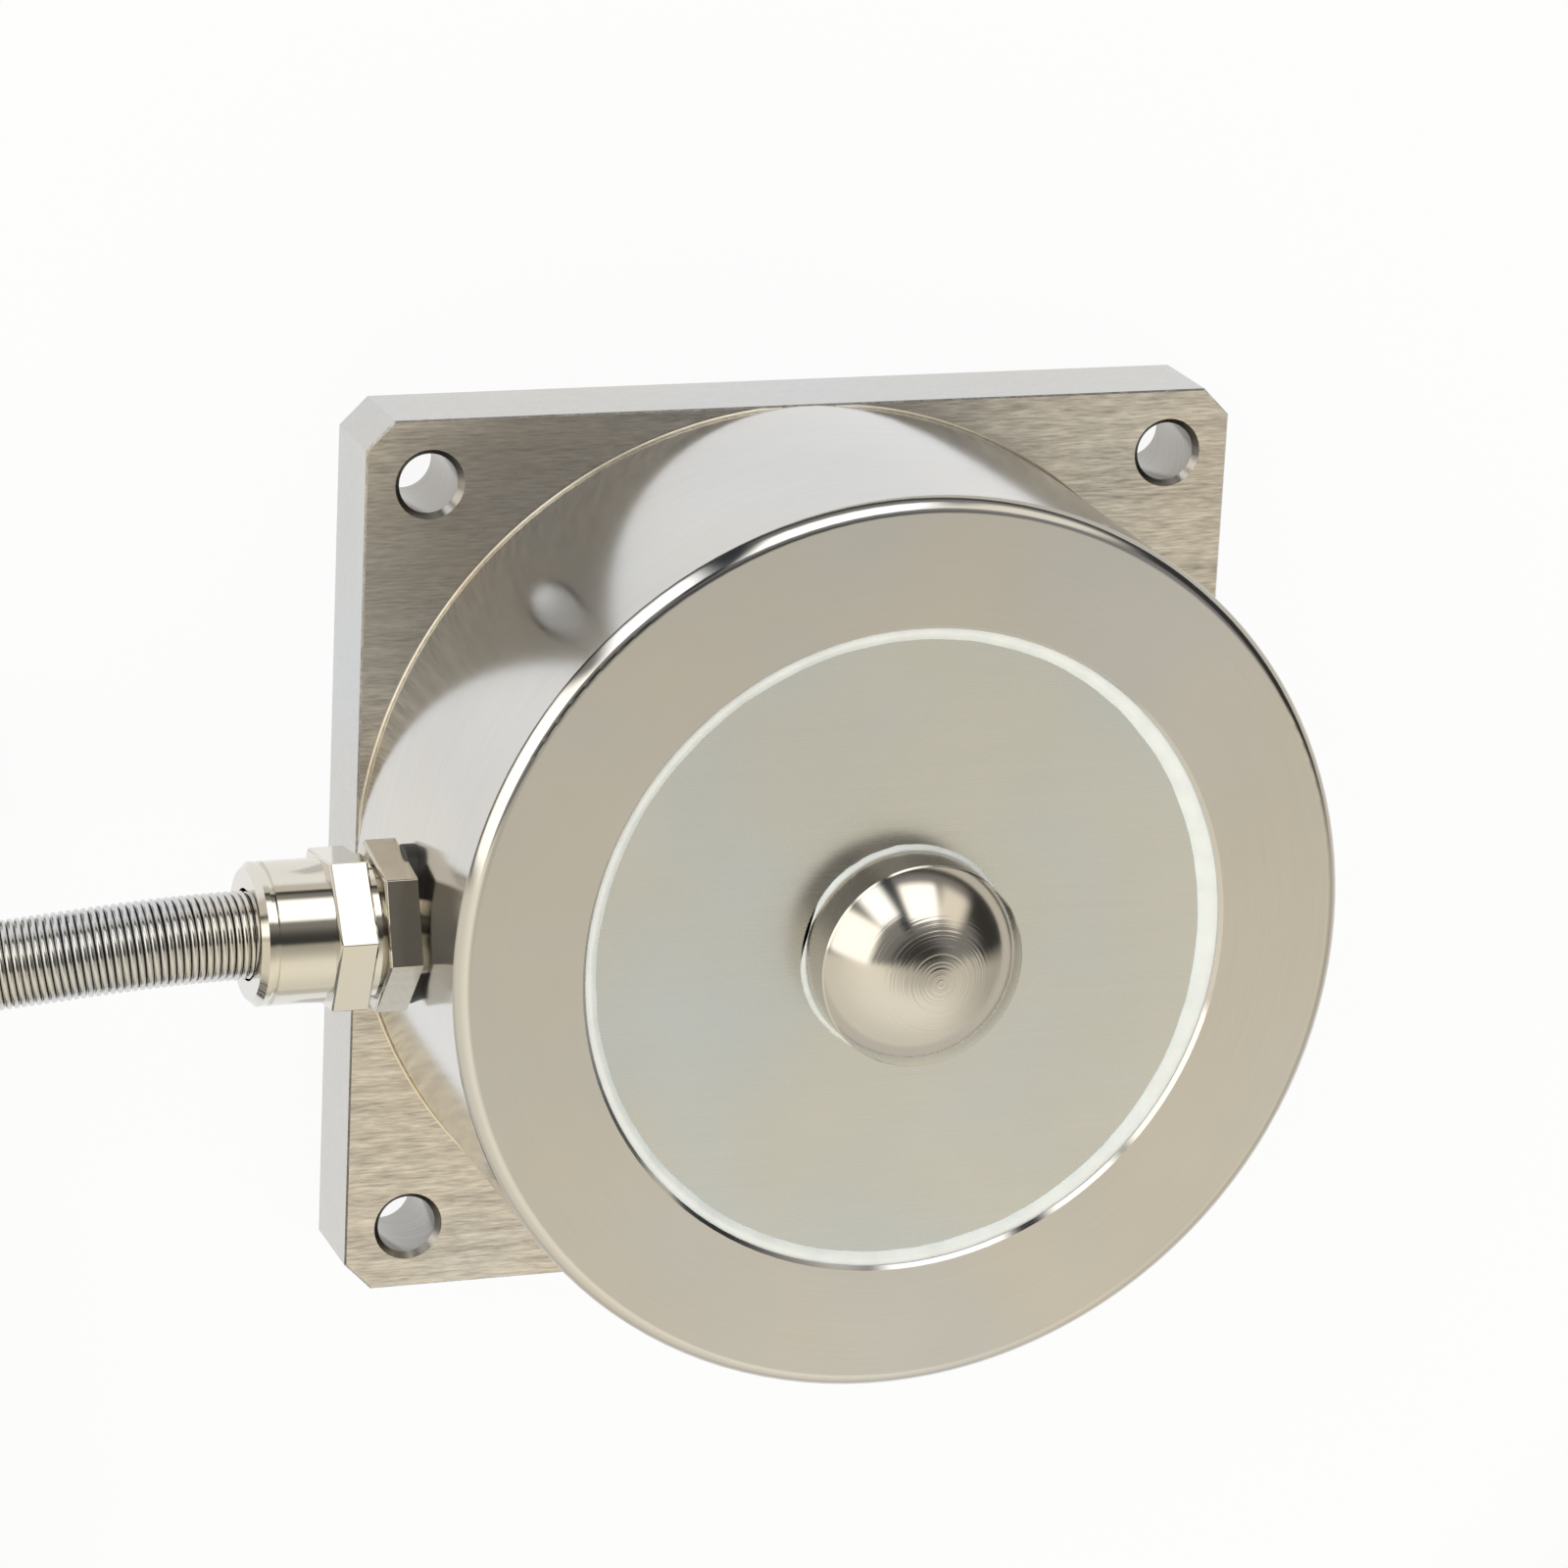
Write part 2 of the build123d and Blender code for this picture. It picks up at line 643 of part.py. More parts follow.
# Cable ties round the coil's section
tie_inner_width = coil_outer - coil_inner + 2 * tie_clearance
tie_inner_height = coil_height + 2 * tie_clearance
tie_inner_corner = coil_corner + tie_clearance
tie_middle_z = coil_lift + coil_height / 2
tie_top = tie_inner_height / 2 + tie_thickness
for number, angle in enumerate(tie_angles, start=1):
    outward = Vector(1, 0, 0).rotate(Axis.Z, angle)
    middle = Vector(coil_centre_x, coil_centre_y, tie_middle_z) + outward * (coil_outer + coil_inner) / 2
    tie_plane = Plane(origin=middle, x_dir=outward, z_dir=outward.cross(Vector(0, 0, 1)))
    with BuildPart() as coil_tie:
        with BuildSketch(tie_plane):
            RectangleRounded(
                tie_inner_width + 2 * tie_thickness,
                tie_inner_height + 2 * tie_thickness,
                tie_inner_corner + tie_thickness,
            )
            RectangleRounded(tie_inner_width, tie_inner_height, tie_inner_corner, mode=Mode.SUBTRACT)
        extrude(amount=tie_width / 2, both=True)
        with BuildSketch(tie_plane):
            with Locations((0, tie_top + tie_head_height / 2)):
                Rectangle(tie_head_length, tie_head_height)
        extrude(amount=tie_head_width / 2, both=True)
        with BuildSketch(tie_plane):
            with Locations(((tie_head_length + tie_tail_length) / 2, tie_top + tie_tail_lift)):
                Rectangle(tie_tail_length, tie_thickness)
        extrude(amount=tie_width / 2, both=True)
    finish(coil_tie, f"coil_tie_{number}")

# Plug: clamp nut, shell, coupling ring, insert and its pins
plug_back_y = tail_route[-1][1] - plug_entry
plug_plane = Plane(origin=(tail_x, plug_back_y, plug_axis_z), x_dir=(0, 0, 1), z_dir=(0, 1, 0))
shell_end = plug_entry + plug_shell_length
insert_radius = plug_shell_radius - plug_wall - plug_clearance
with BuildPart() as plug_nut:
    with BuildSketch(plug_plane):
        Circle(plug_nut_radius)
        Circle(lead_radius + mouth_clearance, mode=Mode.SUBTRACT)
    extrude(amount=plug_entry)
    with BuildSketch(plug_plane.offset(plug_entry)):
        Circle(plug_nut_radius)
        Circle(plug_shell_radius - plug_wall + plug_clearance, mode=Mode.SUBTRACT)
    extrude(amount=plug_nut_length - plug_entry)
    chamfer(faces().sort_by(Axis.Y)[0].edges().sort_by(SortBy.RADIUS)[-1], plug_nut_bevel)
finish(plug_nut, "plug_nut")

with BuildPart() as plug_shell:
    with BuildSketch(plug_plane.offset(plug_entry)):
        Circle(plug_shell_radius - plug_wall)
    extrude(amount=plug_nut_length - plug_entry)
    with BuildSketch(plug_plane.offset(plug_nut_length)):
        Circle(plug_shell_radius)
    extrude(amount=shell_end - plug_nut_length)
    with BuildSketch(plug_plane.offset(shell_end)):
        Circle(insert_radius + plug_clearance)
    extrude(amount=-(plug_shell_length - plug_nut_length), mode=Mode.SUBTRACT)
finish(plug_shell, "plug_shell")

with BuildPart() as plug_ring:
    with BuildSketch(plug_plane.offset(plug_ring_start)):
        Circle(plug_ring_bore + plug_ring_wall)
        Circle(plug_ring_bore, mode=Mode.SUBTRACT)
    extrude(amount=plug_ring_length)
    chamfer(edges().filter_by(GeomType.CIRCLE).group_by(SortBy.RADIUS)[-1], plug_ring_bevel)
finish(plug_ring, "plug_ring")

insert_start = shell_end - (plug_shell_length - plug_nut_length)
insert_end = plug_ring_start + plug_ring_length - insert_face_depth
with BuildPart() as plug_insert:
    with BuildSketch(plug_plane.offset(insert_start)):
        Circle(insert_radius)
    extrude(amount=insert_end - insert_start)
finish(plug_insert, "plug_insert")

with BuildPart() as plug_pins:
    with BuildSketch(plug_plane.offset(insert_end)):
        with PolarLocations(pin_circle / 2, pin_count, start_angle=pin_first_angle):
            Circle(pin_diameter / 2)
    extrude(amount=pin_length)
finish(plug_pins, "plug_pins")
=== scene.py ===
"""Looks of a compression load cell: square flanged body, round drum, domed button and armoured lead.

Everything is in metres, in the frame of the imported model. The origin is the centre of the base's
underside, +Z runs up the load axis and the lead leaves the drum towards -X.
"""

import json
import logging
import math
from dataclasses import dataclass
from enum import Enum

import bmesh
import bpy
import numpy as np
from mathutils import Matrix, Vector, noise

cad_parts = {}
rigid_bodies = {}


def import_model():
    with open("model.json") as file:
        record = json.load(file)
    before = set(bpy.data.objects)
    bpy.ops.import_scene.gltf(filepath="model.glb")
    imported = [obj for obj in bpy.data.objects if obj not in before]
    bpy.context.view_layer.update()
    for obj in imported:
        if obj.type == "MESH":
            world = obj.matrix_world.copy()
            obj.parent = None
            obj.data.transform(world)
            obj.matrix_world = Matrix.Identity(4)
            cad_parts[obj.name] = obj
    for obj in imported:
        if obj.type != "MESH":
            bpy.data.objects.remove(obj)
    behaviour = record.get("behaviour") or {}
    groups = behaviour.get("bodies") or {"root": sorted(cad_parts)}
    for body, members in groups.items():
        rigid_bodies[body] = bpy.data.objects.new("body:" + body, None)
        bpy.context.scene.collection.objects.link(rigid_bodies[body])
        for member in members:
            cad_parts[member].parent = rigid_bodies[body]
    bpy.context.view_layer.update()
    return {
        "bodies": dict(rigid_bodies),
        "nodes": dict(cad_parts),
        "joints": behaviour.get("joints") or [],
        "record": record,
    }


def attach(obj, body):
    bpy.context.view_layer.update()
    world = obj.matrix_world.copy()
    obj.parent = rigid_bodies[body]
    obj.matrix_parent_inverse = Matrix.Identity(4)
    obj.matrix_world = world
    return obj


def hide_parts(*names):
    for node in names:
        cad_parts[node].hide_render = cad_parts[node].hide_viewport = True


log = logging.getLogger("load_cell")

MM = 0.001
ROOT = "root"
HALF_TURN = math.pi
FULL_TURN = 2.0 * math.pi
UP = Vector((0.0, 0.0, 1.0))
NEARLY_NOUGHT = 1.0e-12
ON_AXIS = 1.0e-7

Colour = tuple[float, float, float]
Point = tuple[float, float, float]

FINE_LAYERS = 3.0
GLAND_CENTRE: Point = (0.0, 0.0, 30.95 * MM)
PLUG_CENTRE: Point = (-99.0 * MM, 0.0, 7.5 * MM)
COIL_CENTRE = (-0.166, -0.0715)
TIE_ANGLES = (150.0, 240.0, 330.0)


def around(angle: float, radius: float = 1.0, height: float = 0.0) -> Vector:
    """Point at an angle and a distance round the upright axis."""
    return Vector((radius * math.cos(angle), radius * math.sin(angle), height))


class Maths:
    """One node socket in a Python expression; each operator adds the Math node that it stands for."""

    def __init__(self, board: "NodeBoard", socket: bpy.types.NodeSocket) -> None:
        """Keep the socket and the board that its node lies on."""
        self.board = board
        self.socket = socket

    def __add__(self, other: "Maths | float") -> "Maths":
        """Sum."""
        return self.board.maths("ADD", self, other)

    def __radd__(self, other: float) -> "Maths":
        """Sum with a plain number first."""
        return self.board.maths("ADD", other, self)

    def __sub__(self, other: "Maths | float") -> "Maths":
        """Difference."""
        return self.board.maths("SUBTRACT", self, other)

    def __rsub__(self, other: float) -> "Maths":
        """Difference with a plain number first."""
        return self.board.maths("SUBTRACT", other, self)

    def __mul__(self, other: "Maths | float") -> "Maths":
        """Product."""
        return self.board.maths("MULTIPLY", self, other)

    def __rmul__(self, other: float) -> "Maths":
        """Product with a plain number first."""
        return self.board.maths("MULTIPLY", other, self)

    def __truediv__(self, other: "Maths | float") -> "Maths":
        """Quotient."""
        return self.board.maths("DIVIDE", self, other)

    def __rtruediv__(self, other: float) -> "Maths":
        """Quotient with a plain number first."""
        return self.board.maths("DIVIDE", other, self)

    def __pow__(self, other: "Maths | float") -> "Maths":
        """Power."""
        return self.board.maths("POWER", self, other)

    def __mod__(self, other: "Maths | float") -> "Maths":
        """Remainder."""
        return self.board.maths("MODULO", self, other)

    def __abs__(self) -> "Maths":
        """Size without its sign."""
        return self.board.maths("ABSOLUTE", self)

    def __lt__(self, other: "Maths | float") -> "Maths":
        """One where it is less than the other, and nought elsewhere."""
        return self.board.maths("LESS_THAN", self, other)


class NodeBoard:
    """A node tree, and the few ways in which this script adds nodes to it."""

    def __init__(self, tree: bpy.types.NodeTree) -> None:
        """Keep the tree that the nodes go into."""
        self.tree = tree

    def node(self, kind: str, settings: dict | None = None, values: dict | None = None) -> bpy.types.Node:
        """Add a node.

        Args:
            kind: The node's type.
            settings: Its properties, set first.
            values: Values or links of its sockets, by name or number.

        Returns:
            The node.
        """
        made = self.tree.nodes.new(kind)
        for name, value in (settings or {}).items():
            setattr(made, name, value)
        for name, value in (values or {}).items():
            socket = made.inputs[name]
            source = value.socket if isinstance(value, Maths) else value
            if isinstance(source, bpy.types.NodeSocket):
                self.tree.links.new(source, socket)
            else:
                socket.default_value = source
        return made

    def read(
        self,
        kind: str,
        output: str | int,
        settings: dict | None = None,
        values: dict | None = None,
    ) -> Maths:
        """Add a node and give one of its outputs, for use in an expression."""
        return Maths(self, self.node(kind, settings, values).outputs[output])

    def maths(self, operation: str, *operands: "Maths | float") -> Maths:
        """Add one Math node on the operands and give its result."""
        return self.read("ShaderNodeMath", "Value", {"operation": operation}, dict(enumerate(operands)))

    def vector_maths(self, operation: str, *operands: Maths | Point) -> Maths:
        """Add one Vector Math node on the operands and give its vector."""
        values = dict(enumerate(operands))
        return self.read("ShaderNodeVectorMath", "Vector", {"operation": operation}, values)

    def scaled(self, vector: Maths | Point, factor: Maths) -> Maths:
        """Multiply a vector or a colour by a number."""
        values = {0: vector, "Scale": factor}
        return self.read("ShaderNodeVectorMath", "Vector", {"operation": "SCALE"}, values)

    def radius(self, x: Maths, y: Maths) -> Maths:
        """Distance from an axis, kept just off nought."""
        return (x * x + y * y + NEARLY_NOUGHT) ** 0.5

    def dot(self, first: Maths, second: Point) -> Maths:
        """Dot product of a vector with a fixed one."""
        return self.read("ShaderNodeVectorMath", "Value", {"operation": "DOT_PRODUCT"}, {0: first, 1: second})

    def combine(self, x: Maths | float, y: Maths | float, z: Maths | float) -> Maths:
        """Put three numbers together into a vector."""
        return self.read("ShaderNodeCombineXYZ", "Vector", values={"X": x, "Y": y, "Z": z})

    def split(self, vector: Maths) -> tuple[Maths, Maths, Maths]:
        """Take a vector apart into its three numbers."""
        made = self.node("ShaderNodeSeparateXYZ", values={"Vector": vector})
        return tuple(Maths(self, made.outputs[name]) for name in ("X", "Y", "Z"))

    def smooth(self, value: Maths, low: float, high: float) -> Maths:
        """Nought below low and one above high, with a soft step between.

        Args:
            value: The value to look at.
            low: Where the step starts.
            high: Where it ends.

        Returns:
            The step, from nought to one.
        """
        return self.read(
            "ShaderNodeMapRange",
            "Result",
            {"interpolation_type": "SMOOTHSTEP"},
            {"Value": value, "From Min": low, "From Max": high},
        )

    def blend(self, factor: Maths | float, first: Maths | Colour, second: Maths | Colour) -> Maths:
        """Mix two colours: the first at factor nought, the second at one.

        Args:
            factor: Share of the second colour.
            first: Colour at nought.
            second: Colour at one.

        Returns:
            The mixed colour.
        """
        ends = {"A": first, "B": second}
        made = self.node("ShaderNodeMix", {"data_type": "RGBA"}, {0: factor})
        sockets = {socket.name: socket for socket in made.inputs if socket.type == "RGBA"}
        for name, value in ends.items():
            if isinstance(value, Maths):
                self.tree.links.new(value.socket, sockets[name])
            else:
                sockets[name].default_value = (*value, 1.0)
        result = next(socket for socket in made.outputs if socket.type == "RGBA")
        return Maths(self, result)

    def speckle(self, vector: Maths, scale: float = 1.0, detail: float = 2.0, rough: float = 0.5) -> Maths:
        """Smooth noise from nought to one.

        Args:
            vector: Where to look the noise up.
            scale: Waves to a unit.
            detail: Number of finer layers.
            rough: Strength of each finer layer.

        Returns:
            The noise.
        """
        return self.read(
            "ShaderNodeTexNoise",
            0,
            values={"Vector": vector, "Scale": scale, "Detail": detail, "Roughness": rough},
        )

    def bump(self, height: Maths, depth: float, under: Maths | None = None) -> Maths:
        """Normal of a surface raised by a height from nought to one, times a depth in metres.

        Args:
            height: Height from nought to one.
            depth: What a height of one means, in metres.
            under: A coarser normal to start from.

        Returns:
            The bent normal.
        """
        values = {"Height": height, "Distance": depth}
        if under is not None:
            values["Normal"] = under
        return self.read("ShaderNodeBump", "Normal", values=values)


class Finish:
    """Base of every finish: makes one material and lets a child class dress its main shader."""

    name: str

    def material(self) -> bpy.types.Material:
        """Make the material, or give the one already made under this name.

        Returns:
            The material.
        """
        name = f"{self.name}_look"
        known = bpy.data.materials.get(name)
        if known is not None:
            return known
        made = bpy.data.materials.new(name)
        made.use_nodes = True
        board = NodeBoard(made.node_tree)
        shader = made.node_tree.nodes["Principled BSDF"]
        place = board.read("ShaderNodeTexCoord", "Object")
        self.dress(board, shader, place)
        return made

    def dress(self, board: NodeBoard, shader: bpy.types.Node, place: Maths) -> None:
        """Set the shader's sockets. Each finish has its own way."""
        raise NotImplementedError

    @staticmethod
    def set(board: NodeBoard, shader: bpy.types.Node, values: dict) -> None:
        """Set or link several of the shader's sockets.

        Args:
            board: The nodes among which the shader lies.
            shader: The shader.
            values: Numbers, colours or links, by the socket's name.
        """
        for name, value in values.items():
            socket = shader.inputs[name]
            if isinstance(value, Maths):
                board.tree.links.new(value.socket, socket)
            elif isinstance(value, tuple):
                socket.default_value = (*value, 1.0)
            else:
                socket.default_value = value


class Grain(Enum):
    """Which way the fine marks on a machined surface run."""

    STRAIGHT = "along X"
    TURNED = "round an upright axis"
    TURNED_X = "round an axis along X"
    TURNED_Y = "round an axis along Y"
    TUMBLED = "no way at all"


@dataclass(frozen=True)
class SteelFinish(Finish):
    """Machined or plated metal with fine marks of one direction."""

    name: str
    colour: Colour
    roughness: float
    grain: Grain
    width: float = 0.14 * MM
    length: float = 7.0 * MM
    depth: float = 4.0e-6
    contrast: float = 0.10
    gloss_change: float = 0.05
    cloud: float = 0.03
    warmth: float = 0.02
    centre: Point = (0.0, 0.0, 0.0)
    rings: float = 0.0
    ring_reach: float = 5.5 * MM
    ring_pitch: float = 0.3 * MM
    ring_wander: float = 0.8
    ring_wander_scale: float = 160.0
    ring_full: float = 0.35
    ring_layers: float = 1.5
    turned_at: float = 40.0 * MM
    fine_share: float = 0.65
    fine_rough: float = 0.6
    broad_scale: float = 0.23
    cloud_scale: float = 45.0
    cloud_rough: float = 0.55
    drift_scale: float = 32.0
    drift_edges: tuple[float, float] = (0.36, 0.64)
    drift_lean: Colour = (1.0, 0.0, -1.6)

    def marks(self, board: NodeBoard, place: Maths) -> Maths:
        """Coordinates in which the marks are one unit wide and one unit long.

        Args:
            board: The material's nodes.
            place: Coordinates on the object.

        Returns:
            The stretched coordinates.
        """
        x, y, z = board.split(board.vector_maths("SUBTRACT", place, self.centre))
        if self.grain is Grain.STRAIGHT:
            return board.combine(x / self.length, y / self.width, z / self.width)
        if self.grain is Grain.TUMBLED:
            return board.combine(x / self.width, y / self.width, z / self.width)
        if self.grain is Grain.TURNED_X:
            x, z = z, x
        if self.grain is Grain.TURNED_Y:
            y, z = z, y
        radius = board.radius(x, y)
        spread = self.turned_at / self.length
        return board.combine(x / radius * spread, y / radius * spread, (radius + z) / self.width)

    def dress(self, board: NodeBoard, shader: bpy.types.Node, place: Maths) -> None:
        """Tint, gloss and bump follow the same marks, so that light and dark lines agree with the relief.

        Args:
            board: The material's nodes.
            shader: Its main shader.
            place: Coordinates on the object.
        """
        marks = self.marks(board, place)
        fine = board.speckle(marks, 1.0, FINE_LAYERS, self.fine_rough)
        broad = board.speckle(marks, self.broad_scale)
        clouds = board.speckle(place, self.cloud_scale, FINE_LAYERS, self.cloud_rough)
        line = fine * self.fine_share + broad * (1.0 - self.fine_share)
        shade = 1.0 - self.contrast * (line - 0.5) * 2.0 - self.cloud * (clouds - 0.5) * 2.0
        drift = board.smooth(board.speckle(place, self.drift_scale), *self.drift_edges)
        warm, cool = (
            tuple(
                part * (1.0 + sign * self.warmth * lean)
                for part, lean in zip(self.colour, self.drift_lean)
            )
            for sign in (1.0, -1.0)
        )
        tint = board.scaled(board.blend(drift, warm, cool), shade)
        gloss = self.roughness + self.gloss_change * (line - 0.5) * 2.0 + self.cloud * (clouds - 0.5)
        normal = board.bump(line, self.depth)
        if self.rings:
            normal = self.turning_rings(board, place, normal)
        looks = {"Base Color": tint, "Metallic": 1.0, "Roughness": gloss, "Normal": normal}
        self.set(board, shader, looks)

    def turning_rings(self, board: NodeBoard, place: Maths, under: Maths) -> Maths:
        """Rings that the cutter left round the apex of a dome, fading outwards.

        Args:
            board: The material's nodes.
            place: Coordinates on the object.
            under: The normal of the finer marks.

        Returns:
            The normal with the rings on it.
        """
        x, y, _ = board.split(place)
        radius = board.radius(x, y)
        wander = board.speckle(place, self.ring_wander_scale, 1.0)
        across = radius / self.ring_pitch + wander * self.ring_wander
        ring = board.speckle(board.combine(across, 0.0, 0.0), 1.0, self.ring_layers)
        fade = 1.0 - board.smooth(radius, self.ring_full * self.ring_reach, self.ring_reach)
        return board.bump(ring * fade, self.rings, under)


@dataclass(frozen=True)
class SealantFinish(Finish):
    """Cured silicone: soft white, a little uneven, with a faint sheen."""

    name: str = "white_sealant"
    colour: Colour = (0.88, 0.905, 0.905)
    grey: Colour = (0.81, 0.84, 0.845)
    roughness: float = 0.34
    gloss_change: float = 0.12
    wave_scale: float = 260.0
    wave_edges: tuple[float, float] = (0.35, 0.75)
    skin_scale: float = 2400.0
    skin_share: float = 0.2
    depth: float = 0.05 * MM
    milkiness: float = 0.15
    milk_reach: float = 0.8 * MM

    def dress(self, board: NodeBoard, shader: bpy.types.Node, place: Maths) -> None:
        """Slow waves from the nozzle, and a fine skin.

        Args:
            board: The material's nodes.
            shader: Its main shader.
            place: Coordinates on the object.
        """
        waves = board.speckle(place, self.wave_scale)
        skin = board.speckle(place, self.skin_scale)
        tint = board.blend(board.smooth(waves, *self.wave_edges), self.colour, self.grey)
        self.set(board, shader, {
            "Base Color": tint,
            "Roughness": self.roughness + self.gloss_change * (skin - 0.5),
            "Subsurface Weight": self.milkiness,
            "Subsurface Scale": self.milk_reach,
            "Normal": board.bump(waves + self.skin_share * skin, self.depth),
        })


@dataclass(frozen=True)
class MouldedFinish(Finish):
    """Rubber, nylon, enamel or resin: one colour, with a fine moulded texture."""

    name: str
    colour: Colour
    roughness: float = 0.5
    texture: float = 1800.0
    depth: float = 8.0e-6
    mottle: float = 0.12
    coat: float = 0.0
    gloss_change: float = 0.16
    slow_scale: float = 90.0
    slow_share: float = 0.6

    def dress(self, board: NodeBoard, shader: bpy.types.Node, place: Maths) -> None:
        """A fine pebbled skin and a slow change of tint.

        Args:
            board: The material's nodes.
            shader: Its main shader.
            place: Coordinates on the object.
        """
        pebbles = board.speckle(place, self.texture, FINE_LAYERS)
        slow = board.speckle(place, self.slow_scale)
        mixed = slow * self.slow_share + pebbles * (1.0 - self.slow_share)
        dark = tuple(part * (1.0 - self.mottle) for part in self.colour)
        light = tuple(min(1.0, part * (1.0 + self.mottle)) for part in self.colour)
        self.set(board, shader, {
            "Base Color": board.blend(mixed, dark, light),
            "Roughness": self.roughness + self.gloss_change * (pebbles - 0.5),
            "Coat Weight": self.coat,
            "Normal": board.bump(pebbles, self.depth),
        })


@dataclass(frozen=True)
class GaugeFinish(Finish):
    """Foil gauge: amber backing with a fine metal grid on it."""

    name: str = "gauge_foil"
    backing: Colour = (0.62, 0.33, 0.08)
    foil: Colour = (0.66, 0.6, 0.5)
    pitch: float = 0.5 * MM
    slope: float = 0.7
    line_edges: tuple[float, float] = (0.45, 0.55)
    line_cover: float = 0.8
    roughness: float = 0.32
    haze_scale: float = 700.0
    haze_share: float = 0.1
    depth: float = 4.0e-6

    def dress(self, board: NodeBoard, shader: bpy.types.Node, place: Maths) -> None:
        """Grid lines at 45 degrees to the load axis, as a shear gauge has them.

        Args:
            board: The material's nodes.
            shader: Its main shader.
            place: Coordinates on the object.
        """
        x, y, z = board.split(place)
        across = abs((x + y) * self.slope + z) / self.pitch % 1.0
        lines = board.smooth(across, *self.line_edges)
        haze = board.speckle(place, self.haze_scale)
        self.set(board, shader, {
            "Base Color": board.blend(lines * self.line_cover, self.backing, self.foil),
            "Metallic": lines * self.line_cover,
            "Roughness": self.roughness + self.haze_share * haze,
            "Normal": board.bump(lines, self.depth),
        })


@dataclass(frozen=True)
class ArmourFinish(Finish):
    """Close-wound stainless armour, with painted shade: its grooves between the turns get a dark base colour.
    """

    name: str = "armour_ridged"
    colour: Colour = (0.66, 0.655, 0.64)
    # Painted shade: the dark colour that the grooves and the covered core get.
    shade: Colour = (0.10, 0.10, 0.105)
    roughness: float = 0.2
    wire_noise_scale: float = 420.0
    shade_edge_wobble: float = 0.18
    groove_edges: tuple[float, float] = (0.25, 1.0)
    dull_in_groove: float = 0.3
    rough_in_groove: float = 0.25
    gloss_change: float = 0.1
    relief: float = 3.0e-6

    def dress(self, board: NodeBoard, shader: bpy.types.Node, place: Maths) -> None:
        """The groove attribute of the ridged tube is one in a groove and nought on a ridge, and there the
        colour is painted dark as shade.

        Args:
            board: The material's nodes.
            shader: Its main shader.
            place: Coordinates on the object.
        """
        groove = board.read("ShaderNodeAttribute", "Fac", {"attribute_name": "groove"})
        wire_noise = board.speckle(place, self.wire_noise_scale, FINE_LAYERS)
        # Painted shade mask: one in the grooves, with a noisy edge; it darkens the colour and takes metal
        # away.
        depth = board.smooth(groove + self.shade_edge_wobble * (wire_noise - 0.5), *self.groove_edges)
        rough = self.roughness + self.rough_in_groove * depth + self.gloss_change * (wire_noise - 0.5)
        self.set(board, shader, {
            "Base Color": board.blend(depth, self.colour, self.shade),
            "Metallic": 1.0 - self.dull_in_groove * depth,
            "Roughness": rough,
            "Normal": board.bump(wire_noise, self.relief),
        })


STEEL: Colour = (0.70, 0.692, 0.675)
FLANGE_TOP = SteelFinish("flange_brushed_top", (0.77, 0.735, 0.685), 0.36, Grain.STRAIGHT, width=0.27 * MM,
                         length=2.6 * MM, depth=2.2e-5, contrast=1.0, gloss_change=0.15, warmth=0.02)
FLANGE_EDGE = SteelFinish("flange_broken_edge", (0.5, 0.485, 0.46), 0.2, Grain.TUMBLED, width=0.5 * MM,
                          depth=2.0e-5, contrast=0.95)
# Painted highlight: the fillet between drum and flange gets a lighter, warmer colour than the drum, to draw a
# bright cream line along the junction.
JUNCTION = SteelFinish("junction_satin_painted_highlight", (0.80, 0.745, 0.64), 0.3, Grain.TURNED, depth=2.0e-6)
FLANGE_SIDE = SteelFinish("flange_milled_side", (0.59, 0.587, 0.572), 0.26, Grain.TUMBLED, width=0.3 * MM,
                          depth=2.0e-6)
DRUM_SIDE = SteelFinish("drum_turned_side", (0.65, 0.635, 0.605), 0.15, Grain.TURNED, depth=2.2e-6,
                        contrast=0.07, cloud=0.08, warmth=0.02)
RIM_ROUND = SteelFinish("rim_polished_round", STEEL, 0.09, Grain.TURNED, depth=0.8e-6, contrast=0.04)
RIM_FACE = SteelFinish("rim_satin_face", STEEL, 0.2, Grain.TURNED, depth=2.0e-6, contrast=0.03,
                       cloud=0.05, warmth=0.022)
INSIDE = SteelFinish("machined_inside", STEEL, 0.32, Grain.TURNED, width=0.3 * MM, depth=8.0e-6)
# Painted shade: the hole walls get a darker steel colour than the rest of the body, for the darkness inside
# the bolt holes.
HOLE_WALL = SteelFinish("drilled_hole_painted_shade", (0.4, 0.39, 0.37), 0.24, Grain.TURNED, width=0.2 * MM,
                        depth=1.0e-5, contrast=0.2)
BUTTON = SteelFinish("button_polished", (0.69, 0.67, 0.635), 0.13, Grain.TURNED, depth=0.5e-6,
                     contrast=0.025, gloss_change=0.02, rings=6.0e-5, ring_reach=9.0 * MM)
BUTTON_STEM = SteelFinish("button_turned_stem", (0.52, 0.485, 0.435), 0.2, Grain.TURNED, depth=3.0e-6,
                          contrast=0.06)
COVER = SteelFinish("cover_brushed", (0.735, 0.77, 0.785), 0.27, Grain.STRAIGHT, length=12.0 * MM,
                    depth=1.4e-6, contrast=0.03, cloud=0.05, warmth=0.03)
NICKEL = SteelFinish("gland_nickel", (0.73, 0.71, 0.655), 0.09, Grain.TUMBLED, width=0.35 * MM,
                     depth=2.2e-6, contrast=0.03, centre=GLAND_CENTRE)
NICKEL_BODY = SteelFinish("gland_nickel_body", (0.6, 0.565, 0.495), 0.14, Grain.TUMBLED, width=0.3 * MM,
                          depth=4.0e-6, contrast=0.2, centre=GLAND_CENTRE)
